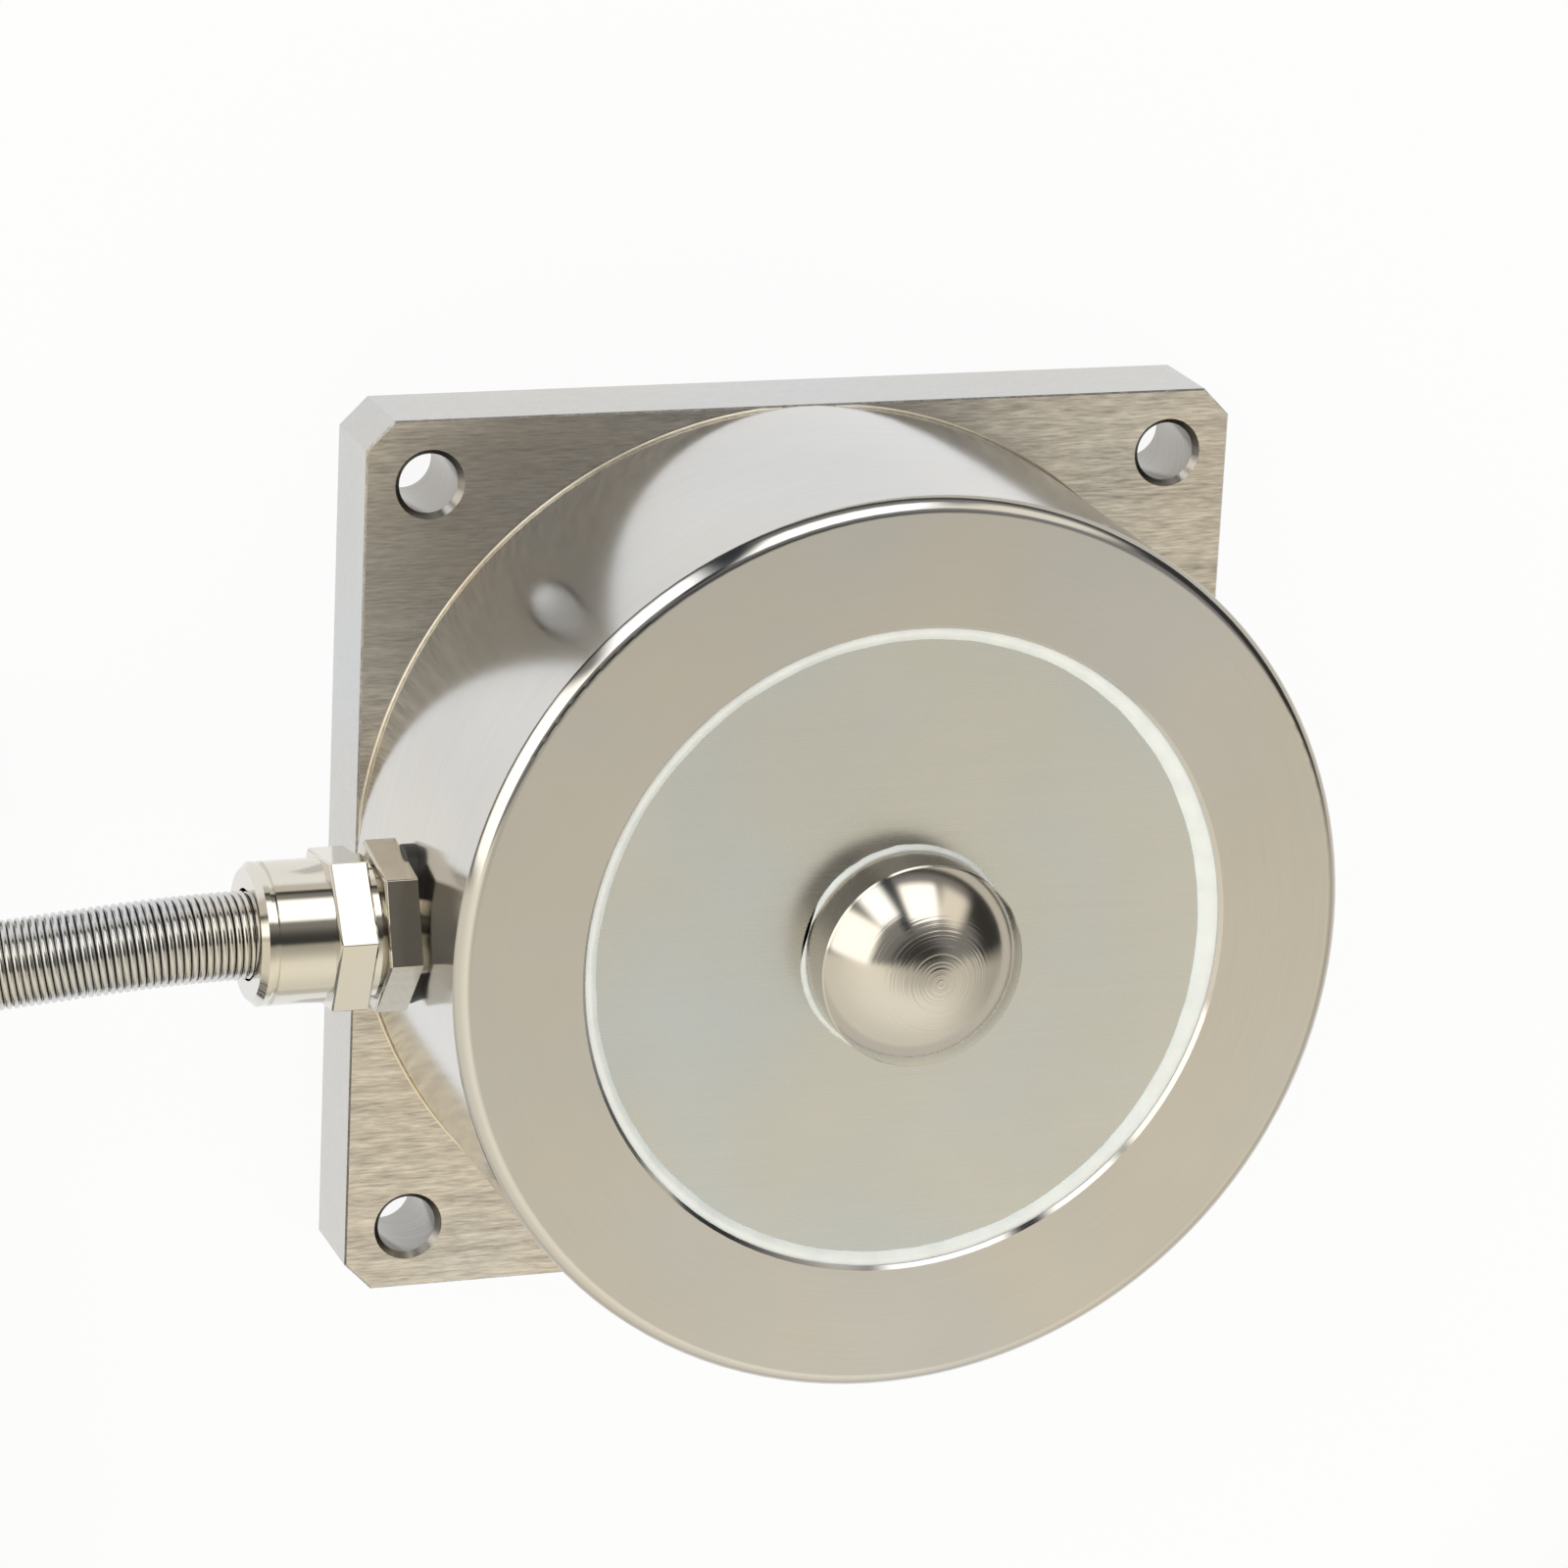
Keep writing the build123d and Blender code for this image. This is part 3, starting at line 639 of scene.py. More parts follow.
NICKEL_BARREL = SteelFinish("gland_nickel_turned", (0.73, 0.71, 0.655), 0.1, Grain.TURNED_X,
                            depth=1.5e-6, contrast=0.03, centre=GLAND_CENTRE)
PLUG_METAL = SteelFinish("plug_nickel", (0.73, 0.715, 0.67), 0.16, Grain.TURNED_Y, depth=3.0e-6,
                         contrast=0.05, centre=PLUG_CENTRE)
WIRE = SteelFinish("armour_wire", (0.64, 0.635, 0.62), 0.14, Grain.TUMBLED, width=0.3 * MM, depth=1.0e-6,
                   contrast=0.06)
SEALANT = SealantFinish()
RUBBER = MouldedFinish("gland_rubber", (0.02, 0.02, 0.021), 0.42)
NYLON = MouldedFinish("tie_nylon", (0.035, 0.035, 0.036), 0.42, texture=900.0)
INSERT = MouldedFinish("insert_black", (0.03, 0.03, 0.03), 0.5)
BRASS = SteelFinish("pin_brass", (0.85, 0.64, 0.3), 0.2, Grain.TUMBLED, width=0.2 * MM, depth=1.0e-6)


@dataclass
class Stroke:
    """One piece of a turned outline: its two ends, and the outward direction at each."""

    start: tuple[float, float]
    end: tuple[float, float]
    start_out: tuple[float, float]
    end_out: tuple[float, float]


class Turning:
    """A closed outline in (radius, height), drawn anticlockwise and turned round an axis.

    Every corner of a face gets the true direction of the turned surface, so that a polished piece
    reflects without facets.
    """

    def __init__(self, radius: float, height: float) -> None:
        """Start the outline at a point."""
        self.pen = (radius, height)
        self.strokes: list[Stroke] = []

    def line(self, radius: float, height: float) -> "Turning":
        """Draw a straight stroke to a point.

        Args:
            radius: Radius of the stroke's end.
            height: Height of the stroke's end.

        Returns:
            The outline, for the next stroke.
        """
        step_r = radius - self.pen[0]
        step_h = height - self.pen[1]
        size = math.hypot(step_r, step_h)
        out = (step_h / size, -step_r / size)
        self.strokes.append(Stroke(self.pen, (radius, height), out, out))
        self.pen = (radius, height)
        return self

    def arc(self, radius: float, height: float, centre: tuple[float, float], steps: int) -> "Turning":
        """Draw an arc to a point round a centre, the short way, in a number of steps.

        Args:
            radius: Radius of the arc's end.
            height: Height of the arc's end.
            centre: The arc's centre, as radius and height.
            steps: Number of straight steps.

        Returns:
            The outline, for the next stroke.
        """
        first = math.atan2(self.pen[1] - centre[1], self.pen[0] - centre[0])
        last = math.atan2(height - centre[1], radius - centre[0])
        sweep = (last - first + HALF_TURN) % FULL_TURN - HALF_TURN
        size = math.hypot(self.pen[0] - centre[0], self.pen[1] - centre[1])
        side = 1.0 if sweep > 0.0 else -1.0
        for step in range(steps):
            one = first + sweep * step / steps
            two = first + sweep * (step + 1) / steps
            ways = [(math.cos(angle), math.sin(angle)) for angle in (one, two)]
            ends = [(centre[0] + size * across, centre[1] + size * rise) for across, rise in ways]
            outs = [(side * across, side * rise) for across, rise in ways]
            self.strokes.append(Stroke(ends[0], ends[1], outs[0], outs[1]))
        self.pen = (radius, height)
        return self

    def mesh(self, name: str, segments: int, place: Matrix | None = None) -> bpy.types.Mesh:
        """Turn the closed outline into a mesh.

        Args:
            name: Name of the mesh.
            segments: Number of steps round the axis.
            place: Turns and moves the mesh from the upright axis to its own.

        Returns:
            The mesh, with its own normals.
        """
        place = place or Matrix.Identity(4)
        angles = [FULL_TURN * step / segments for step in range(segments)]
        points: list[Vector] = []
        rings: list[list[int]] = []
        for stroke in self.strokes:
            radius, height = stroke.start
            count = 1 if radius < ON_AXIS else segments
            rings.append([len(points) + step % count for step in range(segments)])
            for angle in angles[:count]:
                points.append(place @ around(angle, radius, height))
        faces: list[list[int]] = []
        outs: list[Vector] = []
        turn = place.to_3x3()
        for number, stroke in enumerate(self.strokes):
            near = rings[number]
            far = rings[(number + 1) % len(rings)]
            for step in range(segments):
                after = (step + 1) % segments
                corners = [
                    (near[step], stroke.start_out, step),
                    (near[after], stroke.start_out, step + 1),
                    (far[after], stroke.end_out, step + 1),
                    (far[step], stroke.end_out, step),
                ]
                seen: list[int] = []
                face: list[tuple[int, tuple[float, float], int]] = []
                for corner in corners:
                    if corner[0] not in seen:
                        seen.append(corner[0])
                        face.append(corner)
                if len(face) < 3:
                    continue
                faces.append(seen)
                for _, out, at in face:
                    outs.append(turn @ around(FULL_TURN * at / segments, *out))
        made = bpy.data.meshes.new(name)
        made.from_pydata(points, [], faces)
        made.shade_smooth()
        made.normals_split_custom_set(outs)
        return made


@dataclass(frozen=True)
class Axis:
    """An axis that part of a piece was turned round, and how far from it that part reaches."""

    point: Point
    direction: Point = (0.0, 0.0, 1.0)
    reach: float = 1.0
    start: float = -1.0
    limit: float = math.radians(11.0)


@dataclass
class Round:
    """A fillet turned round the upright axis: its tube's centre circle and its radius.

    A polished one was worked by hand after turning: it is tightest next to the face, and meets the
    side in a fine edge.
    """

    centre_radius: float
    centre_height: float
    radius: float
    hollow: bool = False
    polished: bool = False
    slack: float = 0.12
    polish_limit: float = math.radians(60.0)
    polish_ease: float = math.radians(36.0)

    def holds(self, place: Vector) -> bool:
        """Say whether a place lies on the fillet.

        Args:
            place: A point of the piece.

        Returns:
            True on the fillet.
        """
        out = math.hypot(place.x, place.y) - self.centre_radius
        rise = place.z - self.centre_height
        if self.hollow:
            out, rise = -out, -rise
        return out > 0.0 and rise > 0.0 and abs(math.hypot(out, rise) / self.radius - 1.0) < self.slack

    def normal(self, place: Vector) -> Vector:
        """Outward direction of the fillet's surface at a place.

        Args:
            place: A point on the fillet.

        Returns:
            The direction, of length one.
        """
        flat = Vector((place.x, place.y, 0.0)).normalized()
        ring = flat * self.centre_radius
        ring.z = self.centre_height
        way = (ring - place) if self.hollow else (place - ring)
        if not self.polished:
            return way.normalized()
        out = math.hypot(place.x, place.y) - self.centre_radius
        tilt = math.atan2(max(out, 0.0), way.z)
        tilt = self.polish_limit * (1.0 - math.exp(-tilt / self.polish_ease))
        return flat * math.sin(tilt) + UP * math.cos(tilt)


@dataclass
class SmoothCopy:
    """Merged copy of a CAD node whose normals follow the turned and flat surfaces of the solid."""

    node: str
    axes: tuple[Axis, ...]
    rounds: tuple[Round, ...] = ()
    crease: float = math.radians(30.0)
    weld: float = 2.0e-7
    digits: int = 5
    least_out: float = 0.5
    least_plain: float = 0.1

    def mesh(self, frame: dict) -> bpy.types.Mesh:
        """Copy the node's mesh, merge it and give every face corner its true normal.

        Args:
            frame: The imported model.

        Returns:
            The copy, with its own normals.
        """
        work = bmesh.new()
        work.from_mesh(frame["nodes"][self.node].data)
        bmesh.ops.remove_doubles(work, verts=work.verts, dist=self.weld)
        bmesh.ops.dissolve_degenerate(work, edges=work.edges, dist=self.weld)
        work.normal_update()
        work.faces.index_update()
        groups = self.smooth_groups(work)
        sums: dict[tuple, Vector] = {}
        keys: list[tuple[tuple | None, Vector | None, Vector | None]] = []
        for face in work.faces:
            middle = face.calc_center_median()
            exact = next((fillet for fillet in self.rounds if fillet.holds(middle)), None)
            axis = None if exact else self.turned_axis(face)
            area = face.calc_area()
            for corner in face.loops:
                if exact:
                    keys.append((None, exact.normal(corner.vert.co), None))
                    continue
                if axis is None:
                    key = (groups[face.index], corner.vert.index)
                    out = None
                    keys.append((key, None, None))
                    share = face.normal
                else:
                    along, out = self.local(axis, corner.vert.co)
                    away = corner.vert.co - Vector(self.axes[axis].point)
                    height = away.dot(along)
                    radius = (away - along * height).length
                    key = (groups[face.index], axis, round(radius, self.digits), round(height, self.digits))
                    keys.append((key, along, out))
                    share = Vector((face.normal.dot(out), face.normal.dot(along), 0.0))
                sums[key] = sums.get(key, Vector((0.0, 0.0, 0.0))) + share * area
        outs = []
        for key, along, out in keys:
            if key is None:
                outs.append(along)
                continue
            total = sums[key]
            if along is not None:
                total = out * total.x + along * total.y
            outs.append(total.normalized())
        made = bpy.data.meshes.new(self.node)
        work.to_mesh(made)
        work.free()
        made.shade_smooth()
        made.normals_split_custom_set(outs)
        return made

    def smooth_groups(self, work: bmesh.types.BMesh) -> dict[int, int]:
        """Number the groups of faces that meet without a crease.

        Args:
            work: The merged mesh.

        Returns:
            Each face's group, by the face's number.
        """
        groups: dict[int, int] = {}
        for seed in work.faces:
            if seed.index in groups:
                continue
            group = len(groups)
            groups[seed.index] = group
            waiting = [seed]
            while waiting:
                face = waiting.pop()
                for edge in face.edges:
                    if len(edge.link_faces) != 2 or edge.calc_face_angle(HALF_TURN) > self.crease:
                        continue
                    for other in edge.link_faces:
                        if other.index not in groups:
                            groups[other.index] = group
                            waiting.append(other)
        return groups

    def local(self, number: int, place: Vector) -> tuple[Vector, Vector]:
        """Direction of an axis, and the way outwards from it at a place.

        Args:
            number: Which axis.
            place: A point of the piece.

        Returns:
            The two directions.
        """
        axis = self.axes[number]
        along = Vector(axis.direction)
        away = place - Vector(axis.point)
        away = away - along * away.dot(along)
        return along, away.normalized()

    def turned_axis(self, face: bmesh.types.BMFace) -> int | None:
        """Number of the axis that a face was turned round, or none for a flat face.

        Args:
            face: A face of the merged mesh.

        Returns:
            The axis's number, or none.
        """
        middle = face.calc_center_median()
        for number, axis in enumerate(self.axes):
            away = middle - Vector(axis.point)
            height = away.dot(Vector(axis.direction))
            away = away - Vector(axis.direction) * height
            if away.length > axis.reach or height < axis.start:
                continue
            if all(self.follows(number, vertex.co, face.normal) for vertex in face.verts):
                return number
        return None

    def follows(self, number: int, place: Vector, normal: Vector) -> bool:
        """Say whether a face's normal at a corner fits a surface turned round an axis.

        Args:
            number: Which axis.
            place: The corner.
            normal: The face's own normal.

        Returns:
            True where the normal hardly leans out of the axis's plane there.
        """
        along, out = self.local(number, place)
        plain = out * normal.dot(out) + along * normal.dot(along)
        if out.length < self.least_out or plain.length < self.least_plain:
            return False
        return plain.angle(normal) <= self.axes[number].limit


class GeometryRecipe:
    """A Geometry Nodes tree with named inputs, laid on a carrier and turned into a plain mesh."""

    def __init__(self, name: str) -> None:
        """Make the empty tree with its way in and its way out.

        Args:
            name: Name of the tree and of its mesh.
        """
        self.name = name
        self.tree = bpy.data.node_groups.new(name, "GeometryNodeTree")
        self.tree.interface.new_socket("Geometry", in_out="INPUT", socket_type="NodeSocketGeometry")
        self.tree.interface.new_socket("Geometry", in_out="OUTPUT", socket_type="NodeSocketGeometry")
        self.board = NodeBoard(self.tree)
        self.entry = self.board.node("NodeGroupInput")
        self.values: dict[str, object] = {}

    @property
    def geometry(self) -> Maths:
        """What the carrier brings in."""
        return Maths(self.board, self.entry.outputs["Geometry"])

    def size(self, name: str, value: float | int | bpy.types.Material) -> Maths:
        """Add a named input with its value and give its socket.

        Args:
            name: The input's name.
            value: What the tree gets there.

        Returns:
            The input's socket.
        """
        kinds = {float: "NodeSocketFloat", int: "NodeSocketInt", bpy.types.Material: "NodeSocketMaterial"}
        socket = self.tree.interface.new_socket(name, in_out="INPUT", socket_type=kinds[type(value)])
        self.values[socket.identifier] = value
        return Maths(self.board, self.entry.outputs[name])

    def end(self, geometry: Maths, finish: Maths) -> None:
        """Realize the instances, set the material and lead the result out.

        Args:
            geometry: What the tree has made.
            finish: The input that holds the material.
        """
        real = self.board.read("GeometryNodeRealizeInstances", "Geometry", values={"Geometry": geometry})
        dressed = self.board.read(
            "GeometryNodeSetMaterial", "Geometry", values={"Geometry": real, "Material": finish}
        )
        self.board.node("NodeGroupOutput", values={"Geometry": dressed})

    def mesh(self, carrier: bpy.types.Object) -> bpy.types.Mesh:
        """Run the tree on the carrier, then remove the carrier.

        Args:
            carrier: A linked object whose geometry the tree starts from.

        Returns:
            The plain mesh.
        """
        modifier = carrier.modifiers.new(self.name, "NODES")
        modifier.node_group = self.tree
        for identifier, value in self.values.items():
            modifier[identifier] = value
        carrier.update_tag()
        depsgraph = bpy.context.evaluated_depsgraph_get()
        made = bpy.data.meshes.new_from_object(carrier.evaluated_get(depsgraph))
        made.name = self.name
        carrier.modifiers.remove(modifier)
        bpy.data.objects.remove(carrier)
        return made


class Workshop:
    """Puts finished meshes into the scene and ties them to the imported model."""

    def __init__(self, frame: dict) -> None:
        """Keep the frame and the material slot that the record gives to each node."""
        self.frame = frame
        self.slots = {part["node"]: part["material_slot"] for part in frame["record"]["subparts"]}

    def place(
        self, name: str, mesh: bpy.types.Mesh, stands_for: tuple[str, ...], finish: Finish | None = None
    ) -> bpy.types.Object:
        """Link a mesh as a piece of the object.

        Args:
            name: The piece's name.
            mesh: Its mesh, already in place.
            stands_for: The CAD nodes that it replaces.
            finish: Its finish, unless the mesh already has its materials.

        Returns:
            The object.
        """
        piece = bpy.data.objects.new(name, mesh)
        bpy.context.scene.collection.objects.link(piece)
        if finish is not None:
            mesh.materials.clear()
            mesh.materials.append(finish.material())
        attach(piece, ROOT)
        if stands_for:
            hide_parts(*stands_for)
        log.info("%s: %d faces, stands for %s", name, len(mesh.polygons), ", ".join(stands_for) or "nothing")
        return piece

    def dress_node(self, node: str, finish: Finish) -> None:
        """Give a CAD node a finish, whether it shows or another piece stands for it.

        Args:
            node: The CAD node.
            finish: Its finish.
        """
        piece = self.frame["nodes"][node]
        piece.data.materials.clear()
        piece.data.materials.append(finish.material())
        log.info("%s: CAD node, finish %s", node, finish.name)

    @staticmethod
    def carrier(name: str, points: list[Vector], closed: bool = False) -> bpy.types.Object:
        """Link a plain curve through points, for a tree to start from.

        Args:
            name: The curve's name.
            points: Its points.
            closed: Whether it ends where it starts.

        Returns:
            The curve's object.
        """
        line = bpy.data.curves.new(name, "CURVE")
        line.dimensions = "3D"
        spline = line.splines.new("POLY")
        spline.points.add(len(points) - 1)
        for at, point in zip(spline.points, points):
            at.co = (*point, 1.0)
        spline.use_cyclic_u = closed
        made = bpy.data.objects.new(name, line)
        bpy.context.scene.collection.objects.link(made)
        return made

    @staticmethod
    def join(name: str, meshes: list[bpy.types.Mesh]) -> bpy.types.Mesh:
        """Put several meshes of one material into one.

        Args:
            name: Name of the new mesh.
            meshes: Meshes to put together.

        Returns:
            The one mesh.
        """
        work = bmesh.new()
        for mesh in meshes:
            work.from_mesh(mesh)
        made = bpy.data.meshes.new(name)
        work.to_mesh(made)
        work.free()
        return made

    @staticmethod
    def closed_band(name: str, rows: list[list[Vector]]) -> bpy.types.Mesh:
        """Mesh of a band that closes both ways: along each row, and from the last row to the first.

        Args:
            name: Name of the mesh.
            rows: Rows of points, all of the same number.

        Returns:
            The mesh.
        """
        count = len(rows[0])
        faces = []
        for row in range(len(rows)):
            near = row * count
            far = (row + 1) % len(rows) * count
            for one in range(count):
                two = (one + 1) % count
                faces.append([near + one, near + two, far + two, far + one])
        mesh = bpy.data.meshes.new(name)
        mesh.from_pydata([point for row in rows for point in row], [], faces)
        return mesh

    @staticmethod
    def turn_outwards(mesh: bpy.types.Mesh) -> None:
        """Make every face of a closed mesh look outwards.

        Args:
            mesh: The mesh, changed in place.
        """
        work = bmesh.new()
        work.from_mesh(mesh)
        bmesh.ops.recalc_face_normals(work, faces=work.faces)
        work.to_mesh(mesh)
        work.free()


@dataclass
class PhotoCamera:
    """The photograph's viewing angle, recovered from the flange's edges and the drum's circles."""

    place: Point = (-0.231326, 0.222334, 0.651086)
    right: Point = (0.94462321, 0.04580559, 0.32494437)
    up: Point = (0.0572307, 0.95203953, -0.30057509)
    forward: Point = (0.3231279, -0.302527, -0.89669715)
    focal_pixels: float = 6538.17
    image_pixels: float = 1600.0
    sensor: float = 36.0

    def build(self) -> None:
        """Create the camera and make it the scene's."""
        data = bpy.data.cameras.new("photo_camera")
        data.sensor_width = self.sensor
        data.lens = self.focal_pixels * self.sensor / self.image_pixels
        camera = bpy.data.objects.new("photo_camera", data)
        columns = [Vector(self.right), Vector(self.up), -Vector(self.forward)]
        turn = Matrix(columns).transposed().to_4x4()
        camera.matrix_world = Matrix.Translation(Vector(self.place)) @ turn
        bpy.context.scene.collection.objects.link(camera)
        bpy.context.scene.camera = camera


@dataclass(frozen=True)
class SoftBox:
    """A soft-edged patch of the studio's walls: a window, a lit card or a dark opening."""

    azimuth: float
    elevation: float
    half_width: float
    half_height: float
    edge: float
    colour: Colour
    least_facing: float = 0.05
    full_facing: float = 0.2

    def directions(self) -> tuple[Vector, Vector, Vector]:
        """Direction to the patch's middle, and its own sideways and upward directions.

        Returns:
            The three directions.
        """
        turn = math.radians(self.azimuth)
        rise = math.radians(self.elevation)
        middle = Vector(
            (math.cos(rise) * math.cos(turn), math.cos(rise) * math.sin(turn), math.sin(rise))
        )
        sideways = Vector((-math.sin(turn), math.cos(turn), 0.0))
        return middle, sideways, middle.cross(sideways)

    def cover(self, board: NodeBoard, direction: Maths) -> Maths:
        """One inside the patch and nought outside it.

        Args:
            board: The world's nodes.
            direction: Direction of the ray.

        Returns:
            The cover.
        """
        middle, sideways, upward = self.directions()
        facing = board.dot(direction, tuple(middle))
        level = board.maths("MAXIMUM", facing, self.least_facing)
        cover = board.smooth(facing, self.least_facing, self.full_facing)
        for side, half in ((sideways, self.half_width), (upward, self.half_height)):
            reach = math.tan(math.radians(half))
            soft = math.tan(math.radians(self.edge))
            off = abs(board.dot(direction, tuple(side))) / level
            cover = cover * (1.0 - board.smooth(off, reach - soft, reach + soft))
        return cover


@dataclass
class Studio:
    """Plain pale floor with a low cove, and the soft room light round it."""

    room: Colour = (0.25, 0.24, 0.225)
    card: Colour = (1.0, 0.93, 0.78)
    card_level: float = 0.66
    card_lean: float = 0.16
    card_rise: float = 0.20
    card_fall: float = 0.40
    card_edges: tuple[float, float] = (-0.09, 0.03)
    lean_edges: tuple[float, float] = (-0.6, 0.6)
    rise_edges: tuple[float, float] = (0.15, 0.75)
    fall_edges: tuple[float, float] = (0.8, 1.0)
    boxes: tuple[SoftBox, ...] = (
        SoftBox(15.0, 6.0, 22.0, 26.0, 9.0, (0.045, 0.043, 0.04)),
        SoftBox(48.0, 33.0, 12.0, 15.0, 6.0, (1.0, 0.92, 0.78)),
        SoftBox(83.0, 36.0, 15.5, 17.0, 4.0, (1.75, 1.7, 1.6)),
        SoftBox(106.5, 30.0, 5.0, 30.0, 3.0, (0.035, 0.04, 0.05)),
        SoftBox(123.0, 27.0, 10.0, 18.0, 4.0, (1.75, 1.72, 1.66)),
        SoftBox(161.0, 28.0, 18.0, 20.0, 3.5, (1.7, 1.62, 1.45)),
    )
    zenith_dark: float = 0.8
    zenith_edges: tuple[float, float] = (0.86, 0.97)
    skirting_dark: float = 0.8
    skirting_edges: tuple[float, float] = (0.12, 0.2)
    floor_reach: float = 5.0
    floor_drop: float = 0.1 * MM
    floor_thickness: float = 20.0 * MM
    floor_segments: int = 96
    cove_steps: int = 16
    cove_radius: float = 0.3
    cove_top: float = 0.35
    lamp_height: float = 1.6
    lamp_width: float = 1.8
    lamp_power: float = 8.0
    lamps: tuple[tuple[str, float, float], ...] = (
        ("soft_lamp_left", -0.9, 0.8),
        ("soft_lamp_right", 0.9, -0.7),
    )
    floor_colour: Colour = (0.88, 0.88, 0.88)
    table_colour: Colour = (0.66, 0.62, 0.54)
    table_start: tuple[float, float] = (0.13, 0.32)
    paper_white: float = 0.93
    paper_edges: tuple[float, float] = (0.45, 0.9)
    paper_grain: float = 900.0
    paper_relief: float = 1.0e-5
    paper_roughness: float = 0.9

    def build(self) -> None:
        """Make the room light, the lamps and the floor."""
        self.light_room()
        for name, x, y in self.lamps:
            self.hang_lamp(name, (x, y, self.lamp_height))
        self.lay_floor()

    def light_room(self) -> None:
        """Room light: a warm card over the near half, a dim far half with soft windows in it."""
        world = bpy.data.worlds.new("studio_room")
        world.use_nodes = True
        bpy.context.scene.world = world
        board = NodeBoard(world.node_tree)
        direction = board.read("ShaderNodeTexCoord", "Generated")
        x, y, z = board.split(direction)
        level = self.card_level + self.card_lean * (1.0 - 2.0 * board.smooth(x + y, *self.lean_edges))
        level = level + self.card_rise * board.smooth(z, *self.rise_edges)
        level = level - self.card_fall * board.smooth(z, *self.fall_edges)
        lit = board.scaled(self.card, level)
        shade = 1.0 - self.zenith_dark * board.smooth(z, *self.zenith_edges)
        shade = shade - self.skirting_dark * (1.0 - board.smooth(z, *self.skirting_edges))
        room = board.scaled(self.room, shade)
        colour = board.blend(board.smooth(y, *self.card_edges), lit, room)
        for box in self.boxes:
            colour = board.blend(box.cover(board, direction), colour, box.colour)
        shader = world.node_tree.nodes["Background"]
        world.node_tree.links.new(colour.socket, shader.inputs["Color"])
        shader.inputs["Strength"].default_value = 1.0

    def hang_lamp(self, name: str, place: Point) -> None:
        """Hang a wide soft lamp that fills the shadows and isn't mirrored in the metal.

        Args:
            name: The lamp's name.
            place: Where it hangs. It looks at the origin.
        """
        data = bpy.data.lights.new(name, "AREA")
        data.shape = "DISK"
        data.size = self.lamp_width
        data.energy = self.lamp_power
        lamp = bpy.data.objects.new(name, data)
        lamp.visible_glossy = False
        aim = (-Vector(place)).to_track_quat("-Z", "Y").to_matrix().to_4x4()
        lamp.matrix_world = Matrix.Translation(Vector(place)) @ aim
        bpy.context.scene.collection.objects.link(lamp)

    def lay_floor(self) -> None:
        """Floor with a cove at its far edge, so that a low view ends in a pale wall."""
        top = -self.floor_drop
        low = top - self.floor_thickness
        rim = self.floor_reach + self.cove_radius
        back = rim + self.floor_thickness
        turning = Turning(0.0, low)
        turning.line(back, low).line(back, self.cove_top).line(rim, self.cove_top)
        turning.line(rim, self.cove_radius)
        turning.arc(self.floor_reach, top, (self.floor_reach, self.cove_radius + top), self.cove_steps)
        turning.line(0.0, top).line(0.0, low)
        floor = bpy.data.objects.new("floor", turning.mesh("floor", self.floor_segments))
        bpy.context.scene.collection.objects.link(floor)
        floor.data.materials.append(self.floor_material())

    def floor_material(self) -> bpy.types.Material:
        """White near the object and pale beige further off, to the camera and in reflections alike.

        Close to the object a share of the lit floor keeps its shadow.

        Returns:
            The material.
        """
        made = bpy.data.materials.new("studio_floor")
        made.use_nodes = True
        board = NodeBoard(made.node_tree)
        shader = made.node_tree.nodes["Principled BSDF"]
        place = board.read("ShaderNodeTexCoord", "Object")
        grain = board.speckle(place, self.paper_grain)
        x, y, _ = board.split(place)
        radius = board.radius(x, y)
        table = board.smooth(radius, *self.table_start)
        Finish.set(board, shader, {
            "Base Color": board.blend(table, self.floor_colour, self.table_colour),
            "Roughness": self.paper_roughness,
            "Specular IOR Level": 0.0,
            "Normal": board.bump(grain, self.paper_relief),
        })
        rays = board.node("ShaderNodeLightPath")
        camera, glossy, clear = (
            Maths(board, rays.outputs[name])
            for name in ("Is Camera Ray", "Is Glossy Ray", "Is Transmission Ray")
        )
        far = board.maths("MAXIMUM", board.smooth(radius, *self.paper_edges), self.paper_white)
        pale = board.blend(table, (1.0, 1.0, 1.0), self.table_colour)
        white = board.node("ShaderNodeEmission", values={"Color": pale, "Strength": 1.0})
        lit = shader.outputs[0]
        paper = board.node("ShaderNodeMixShader", values={0: far, 1: lit, 2: white.outputs[0]})
        shown = board.maths("MAXIMUM", board.maths("MAXIMUM", camera, glossy), clear)
        whole = board.node("ShaderNodeMixShader", values={0: shown, 1: lit, 2: paper.outputs[0]})
        surface = made.node_tree.nodes["Material Output"].inputs["Surface"]
        made.node_tree.links.new(whole.outputs[0], surface)
        return made


